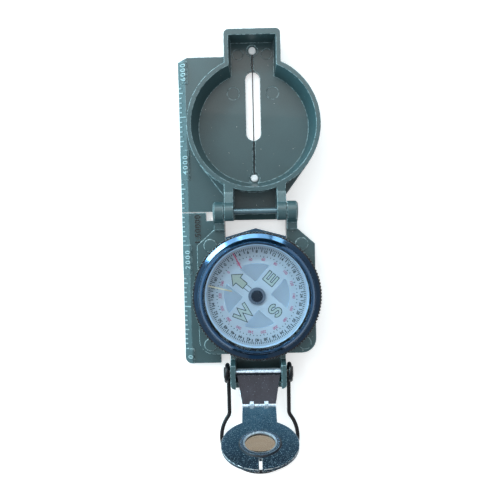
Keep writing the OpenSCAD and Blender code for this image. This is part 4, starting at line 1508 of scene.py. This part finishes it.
@dataclass
class SightLens(Assembly):
    """The folding bracket with its lens.

    Attributes:
        pivot_y: Place of the hinge along the compass.
        pivot_z: Height of the hinge.
        roll_r: Radius of the rolled knuckle.
        roll_slack: How far from that radius a face still belongs to the knuckle.
        roll_dull: Ends of the strip on the knuckle, from the hinge, that stays plain between its painted
            highlight lines.
        crease: Ends of the bend along the compass, where faces of the bend take a painted highlight.
        crease_deg: Least and greatest tilt of the faces in the bend that take it.
        disc_y: Place along the compass beyond which the faces belong to the disc.
        disc_deg: Tilt of the disc.
        eyelet_flat: Least part of the normal along the axis on the flat of the eyelet.
        slope_r: Radius at which the outer slope of the eyelet starts, which takes a painted shade.
        lens_r: Radius of the lens.
        lens_t: Thickness of the lens at its middle.
        lens_curve: Radius of its faces.
        lens_rings: Number of rings of faces on each side.
        lens_sides: Number of faces around.
        lens_smooth: Edges of the lens flatter than this are shaded smooth, in degrees.
    """

    pivot_y: float = -32.3
    pivot_z: float = 8.5
    roll_r: float = 1.7
    roll_slack: float = 0.05
    roll_dull: Flat = (-1.1, 0.25)
    crease: Flat = (-46.0, -43.0)
    crease_deg: Flat = (22.0, 73.0)
    disc_y: float = -44.9
    disc_deg: float = 75.0
    eyelet_flat: float = 0.97
    slope_r: float = 7.4
    lens_r: float = 5.95
    lens_t: float = 2.2
    lens_curve: float = 20.0
    lens_rings: int = 10
    lens_sides: int = 64
    lens_smooth: float = 40.0

    def bracket_zone(self, face: MeshPolygon) -> BracketZone:
        """Tells which place of the bracket a face belongs to.

        Args:
            face: A face of the bracket.

        Returns:
            The place.
        """
        place = face.center / MM
        from_hinge = place.y - self.pivot_y
        # The knuckle on both sides of a plain strip, and the bend, take the painted highlight.
        if abs(math.hypot(from_hinge, place.z - self.pivot_z) - self.roll_r) < self.roll_slack:
            dull = self.roll_dull[0] < from_hinge < self.roll_dull[1]
            return BracketZone.PLATE if dull else BracketZone.PAINTED_HIGHLIGHT
        tilt = math.degrees(math.atan2(face.normal.y, face.normal.z))
        if self.crease[0] < place.y < self.crease[1] and self.crease_deg[0] < tilt < self.crease_deg[1]:
            return BracketZone.PAINTED_HIGHLIGHT
        return BracketZone.DISC if place.y < self.disc_y else BracketZone.PLATE

    def eyelet_zone(self, face: MeshPolygon, middle: Vector, axis: Vector) -> EyeletZone:
        """Tells which place of the eyelet a face belongs to.

        Args:
            face: A face of the eyelet.
            middle: Middle of the lens.
            axis: Axis of the lens.

        Returns:
            The place.
        """
        # The flat keeps plain steel; the outer slope takes a painted shade and the inner one a painted
        # highlight.
        if abs(face.normal.dot(axis)) > self.eyelet_flat:
            return EyeletZone.FLAT
        out = face.center / MM - middle
        radius = (out - axis * out.dot(axis)).length
        return EyeletZone.OUTER if radius > self.slope_r else EyeletZone.INNER

    def axes(self) -> tuple[Vector, Vector, Vector]:
        """Gives the middle of the lens, its axis and its upward direction.

        Returns:
            The middle, and two directions.
        """
        low, high = (Vector(corner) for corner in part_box("lens"))
        lean = math.radians(self.disc_deg)
        axis = Vector((0.0, math.sin(lean), math.cos(lean)))
        upward = Vector((0.0, -math.cos(lean), math.sin(lean)))
        return (low + high) / (2 * MM), axis, upward

    def lens(self) -> None:
        """Builds the lens anew, with even faces that bend the light cleanly."""
        middle, axis, upward = self.axes()
        across = upward.cross(axis)
        bm = bmesh.new()
        rims = []
        for side in (1, -1):
            tip = bm.verts.new((middle + axis * side * self.lens_t / 2) * MM)
            rings = []
            for count in range(1, self.lens_rings + 1):
                radius = self.lens_r * count / self.lens_rings
                drop = self.lens_curve - math.sqrt(self.lens_curve**2 - radius**2)
                centre = middle + axis * side * (self.lens_t / 2 - drop)
                rings.append(circle(bm, centre, across, upward, radius, self.lens_sides))
            for k in range(self.lens_sides):
                bm.faces.new((tip, rings[0][k - 1], rings[0][k]))
            for inner, outer in zip(rings, rings[1:]):
                band(bm, inner, outer)
            rims.append(rings[-1])
        band(bm, *rims)
        made = piece("lens_clear", mesh_from(bm, self.lens_smooth), Body.LENS, LENS_GLASS)
        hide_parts("lens")

    def build(self) -> None:
        """Finishes the bracket and the eyelet place by place, with painted highlights on the knuckle, the
        bend and the eyelet's inner lip, painted shade on the eyelet's outer slope and a lighter copy of the
        steel on the disc, and builds the lens.
        """
        bracket = resurface("lens_bracket", Body.LENS, BRACKET_STEEL)
        finish_zones(bracket, (HIGHLIGHT_STEEL, LIT_DISC_STEEL), self.bracket_zone)
        eyelet = resurface("lens_eyelet", Body.LENS, EYELET_STEEL)
        middle, axis, _ = self.axes()
        finish_zones(eyelet, (GROOVE_SHADE, HIGHLIGHT_STEEL), lambda face: self.eyelet_zone(face, middle, axis))
        self.lens()


@dataclass
class ThumbLoop(Assembly):
    """The black wire loop that hangs on two studs.

    Attributes:
        pivot: Pivot of the loop.
        wire_r: Radius of the wire.
        eye_x: Place of an eye across the case.
        eye_r: Radius of an eye, at the middle of the wire.
        eye_deg: Turn of an eye.
        eye_shift: Sideways run of the wire in an eye.
        bend_r: Radius of the bend where the arms open into the ring.
        bend_y: Middle of that bend.
        bend_deg: Turn of that bend.
        ring_r: Radius of the ring.
        ring_y: Middle of the ring.
        droop: Angle by which the loop hangs, in degrees.
        eye_steps: Number of points in an eye.
        leg_steps: Number of points in a straight arm.
        bend_steps: Number of steps in a bend.
        ring_steps: Number of steps in the ring.
        sides: Number of sides of the wire.
        smooth_deg: Edges flatter than this are shaded smooth.
    """

    pivot: Point = (0.0, -32.3, 8.5)
    wire_r: float = 0.847
    eye_x: float = 12.75
    eye_r: float = 3.35
    eye_deg: float = 290.0
    eye_shift: float = 0.85
    bend_r: float = 4.0
    bend_y: float = -18.5554
    bend_deg: float = 34.8071
    ring_r: float = 16.4
    ring_y: float = -30.2
    droop: float = 5.18796
    eye_steps: int = 44
    leg_steps: int = 6
    bend_steps: int = 10
    ring_steps: int = 96
    sides: int = 20
    smooth_deg: float = 50.0

    def eye(self, side: int) -> list[Vector]:
        """Gives the points of one eye.

        Args:
            side: 1 for the right eye, -1 for the left one.

        Returns:
            The points, from the free end of the wire.
        """
        points = []
        for i in range(self.eye_steps, 0, -1):
            turn = math.radians(self.eye_deg * i / self.eye_steps)
            x = side * (self.eye_x + self.eye_shift * i / self.eye_steps)
            points.append(Vector((x, self.eye_r * math.sin(turn), -self.eye_r * math.cos(turn))))
        return points

    def arc(self, middle: Flat, r: float, start: float, end: float, steps: int) -> list[Vector]:
        """Gives the points of an arc that lies flat, level with the arms.

        Args:
            middle: Its middle.
            r: Its radius.
            start: Direction of its first point, in degrees.
            end: Direction of its last point.
            steps: Number of steps.

        Returns:
            The points.
        """
        x, y = middle
        turns = [math.radians(start + (end - start) * i / steps) for i in range(steps + 1)]
        return [Vector((x + r * math.cos(turn), y + r * math.sin(turn), -self.eye_r)) for turn in turns]

    def path(self) -> list[Vector]:
        """Gives the middle line of the wire.

        Returns:
            The points, from one end to the other.
        """
        rows = range(self.leg_steps)
        leg = [Vector((self.eye_x, self.bend_y * i / self.leg_steps, -self.eye_r)) for i in rows]
        half = FULL_TURN / 2
        middle = (self.eye_x + self.bend_r, self.bend_y)
        right = leg + self.arc(middle, self.bend_r, half, half + self.bend_deg, self.bend_steps)
        ends = (self.bend_deg, -half - self.bend_deg)
        ring = self.arc((0.0, self.ring_y), self.ring_r, *ends, self.ring_steps)
        left = [Vector((-point.x, point.y, point.z)) for point in reversed(right)]
        points = self.eye(1) + right + ring[1:-1] + left + self.eye(-1)[::-1]
        hang = Matrix.Rotation(math.radians(self.droop), 3, "X")
        return [hang @ point + Vector(self.pivot) for point in points]

    def build(self) -> None:
        """Draws the wire along its middle line, with flat ends."""
        points = self.path()
        bm = bmesh.new()
        rings: list[list[BMVert]] = []
        across = (points[1] - points[0]).normalized().orthogonal().normalized()
        last = len(points) - 1
        for i, point in enumerate(points):
            ahead = (points[min(i + 1, last)] - points[max(i - 1, 0)]).normalized()
            across = (across - ahead * across.dot(ahead)).normalized()
            rings.append(circle(bm, point, across, ahead.cross(across), self.wire_r, self.sides))
        for first, second in zip(rings, rings[1:]):
            band(bm, first, second)
        for end in (rings[0], rings[-1]):
            bm.faces.new(end)
        made = piece("thumb_loop_wire", mesh_from(bm, self.smooth_deg), Body.LOOP, LOOP_BLACK)
        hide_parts("thumb_loop")


@dataclass(frozen=True)
class Lamp:
    """A soft rectangular lamp.

    Attributes:
        name: Name of the lamp.
        place: Where it hangs, in metres.
        size: Its two sides, in metres.
        watts: Its power.
        tone: Its colour.
        aim: The point it faces, in metres.
        spread: Angle of its beam, in degrees.
        mirrored: Whether it shows in shiny surfaces.
        lighting: Whether it lights dull surfaces.
    """

    name: str
    place: Point
    size: Flat
    watts: float
    tone: Colour = (0.68, 0.93, 1.0)
    aim: Point = (0.0, 0.0, 0.01)
    spread: float = 180.0
    mirrored: bool = True
    lighting: bool = True

    def hang(self) -> None:
        """Hangs the lamp, out of the camera's sight."""
        light = bpy.data.lights.new(self.name, "AREA")
        light.shape = "RECTANGLE"
        light.size = self.size[0]
        light.size_y = self.size[1]
        light.energy = self.watts
        light.color = self.tone
        light.spread = math.radians(self.spread)
        holder = show(self.name, light)
        holder.location = self.place
        holder.visible_camera = False
        holder.visible_glossy = self.mirrored
        holder.visible_diffuse = self.lighting
        holder.rotation_euler = (Vector(self.aim) - Vector(self.place)).to_track_quat("-Z", "Y").to_euler()


@dataclass
class Studio:
    """The floor, the lamps, the sky and the camera.

    Attributes:
        eye: Place of the camera.
        tilt: Turns of the camera about X, Y and Z, in radians.
        reach: Focal length, in pixels of the picture.
        picture: Width of the picture, in pixels.
        sensor: Width of the camera's sensor.
        clip: Nearest and furthest sight of the camera, in metres.
        floor_size: Half of the side of the floor, in metres.
        floor_cells: Number of faces along a side of the floor.
        floor_tone: Colour of the floor.
        floor_glow: Light that the floor adds where it is seen.
        window: Direction of the bright side of the sky.
        sky: Light of the bright side.
        sky_dim: Light of the other side.
        sky_span: Agreement with that direction on the dim and on the bright side.
        lamps: The lamps.
    """

    eye: Point = (-0.7413, 31.7571, 243.0569)
    tilt: Point = (0.0543, -0.0075, 0.0207)
    reach: float = 567.5572
    picture: float = 500.0
    sensor: float = 36.0
    clip: Flat = (0.01, 20.0)
    floor_size: float = 12.0
    floor_cells: int = 8
    floor_tone: Colour = (0.86, 0.86, 0.86)
    floor_glow: float = 0.5
    window: Point = (-0.7, 0.4, 0.5)
    sky: Colour = (0.72, 0.75, 0.76)
    sky_dim: Colour = (0.45, 0.45, 0.46)
    sky_span: Flat = (-0.6, 0.9)
    lamps: tuple[Lamp, ...] = (
        Lamp(
            "key", (-0.38, 0.44, 0.40), (0.50, 0.50), 0.20, (0.94, 0.98, 1.0), aim=(-0.01, 0.13, 0.0),
            spread=36.0, mirrored=False,
        ),
        Lamp("side", (-0.55, 0.10, 0.13), (0.50, 0.20), 2.7, (0.4, 0.86, 1.0), aim=(0.0, 0.07, 0.0)),
        Lamp("pane_left", (-0.30, 0.28, 0.297), (0.18, 0.05), 1.6, (0.72, 0.94, 1.0), lighting=False),
        Lamp("pane_middle", (-0.077, 0.485, 0.352), (0.18, 0.05), 0.50),
        Lamp("pane_right", (0.205, 0.450, 0.352), (0.10, 0.05), 0.28),
        Lamp("fill_left", (-0.23, 0.433, 0.352), (0.22, 0.05), 0.35),
        Lamp("fill_right", (0.068, 0.486, 0.352), (0.12, 0.05), 0.20),
        Lamp(
            "ceiling", (0.02, 0.34, 0.55), (0.60, 0.34), 1.5, (1.0, 0.88, 0.82), aim=(0.0, 0.075, 0.0),
            lighting=False,
        ),
    )

    def camera(self) -> None:
        """Sets the camera where the photograph was taken."""
        lens = bpy.data.cameras.new("view")
        lens.sensor_width = self.sensor
        lens.lens = self.reach * self.sensor / self.picture
        lens.clip_start = self.clip[0]
        lens.clip_end = self.clip[1]
        holder = show("view", lens)
        about_x, about_y, about_z = self.tilt
        turn = Matrix.Rotation(about_z, 3, "Z") @ Matrix.Rotation(about_x, 3, "X")
        turn = turn @ Matrix.Rotation(about_y, 3, "Y")
        holder.matrix_world = Matrix.Translation(Vector(self.eye) * MM) @ turn.transposed().to_4x4()
        bpy.context.scene.camera = holder

    def floor(self) -> None:
        """Lays the pale floor, which keeps the shadow of the compass."""
        bm = bmesh.new()
        cells = self.floor_cells
        bmesh.ops.create_grid(bm, x_segments=cells, y_segments=cells, size=self.floor_size)
        mesh = bpy.data.meshes.new("floor")
        bm.to_mesh(mesh)
        bm.free()
        made = bpy.data.materials.new("Floor_pale")
        made.use_nodes = True
        graph = Graph(made.node_tree)
        cloth = graph.add("ShaderNodeBsdfDiffuse", {"Color": self.floor_tone})
        path = graph.add("ShaderNodeLightPath").outputs
        mirrored = graph.math("MAXIMUM", path["Is Glossy Ray"], path["Is Transmission Ray"])
        seen = graph.math("MAXIMUM", path["Is Camera Ray"], mirrored)
        strength = graph.math("MULTIPLY", seen, self.floor_glow)
        glow = graph.add("ShaderNodeEmission", {"Color": (1.0, 1.0, 1.0), "Strength": strength})
        both = graph.add("ShaderNodeAddShader", {0: cloth.outputs[0], 1: glow.outputs[0]})
        graph.close(both.outputs[0])
        mesh.materials.append(made)
        laid = show("floor", mesh)

    def sky_light(self) -> None:
        """Sets a soft sky that is brighter towards the window."""
        world = bpy.data.worlds.new("sky")
        bpy.context.scene.world = world
        world.use_nodes = True
        graph = Graph(world.node_tree)
        ray = graph.add("ShaderNodeTexCoord").outputs["Generated"]
        facing = graph.dot(ray, tuple(Vector(self.window).normalized()))
        tone = graph.tint(graph.remap(facing, self.sky_span), self.sky_dim, self.sky)
        soft = graph.add("ShaderNodeBackground", {"Color": tone, "Strength": 1.0})
        graph.close(soft.outputs[0], "ShaderNodeOutputWorld")

    def build(self) -> None:
        """Sets up the whole studio."""
        self.camera()
        self.floor()
        self.sky_light()
        for lamp in self.lamps:
            lamp.hang()
        bpy.context.scene.view_settings.view_transform = "Standard"


def main() -> None:
    """Builds the studio and the assemblies of the compass, in order."""
    logging.basicConfig(level=logging.INFO, format="%(name)s: %(message)s")
    Studio().build()
    assemblies = (
        CaseAssembly(), LidAssembly(), RulerScale(), BezelAssembly(),
        DialAssembly(), SightLens(), ThumbLoop(),
    )
    for part in assemblies:
        part.build()
        LOG.info("built %s", type(part).__name__)


if __name__ == "__main__":
    main()
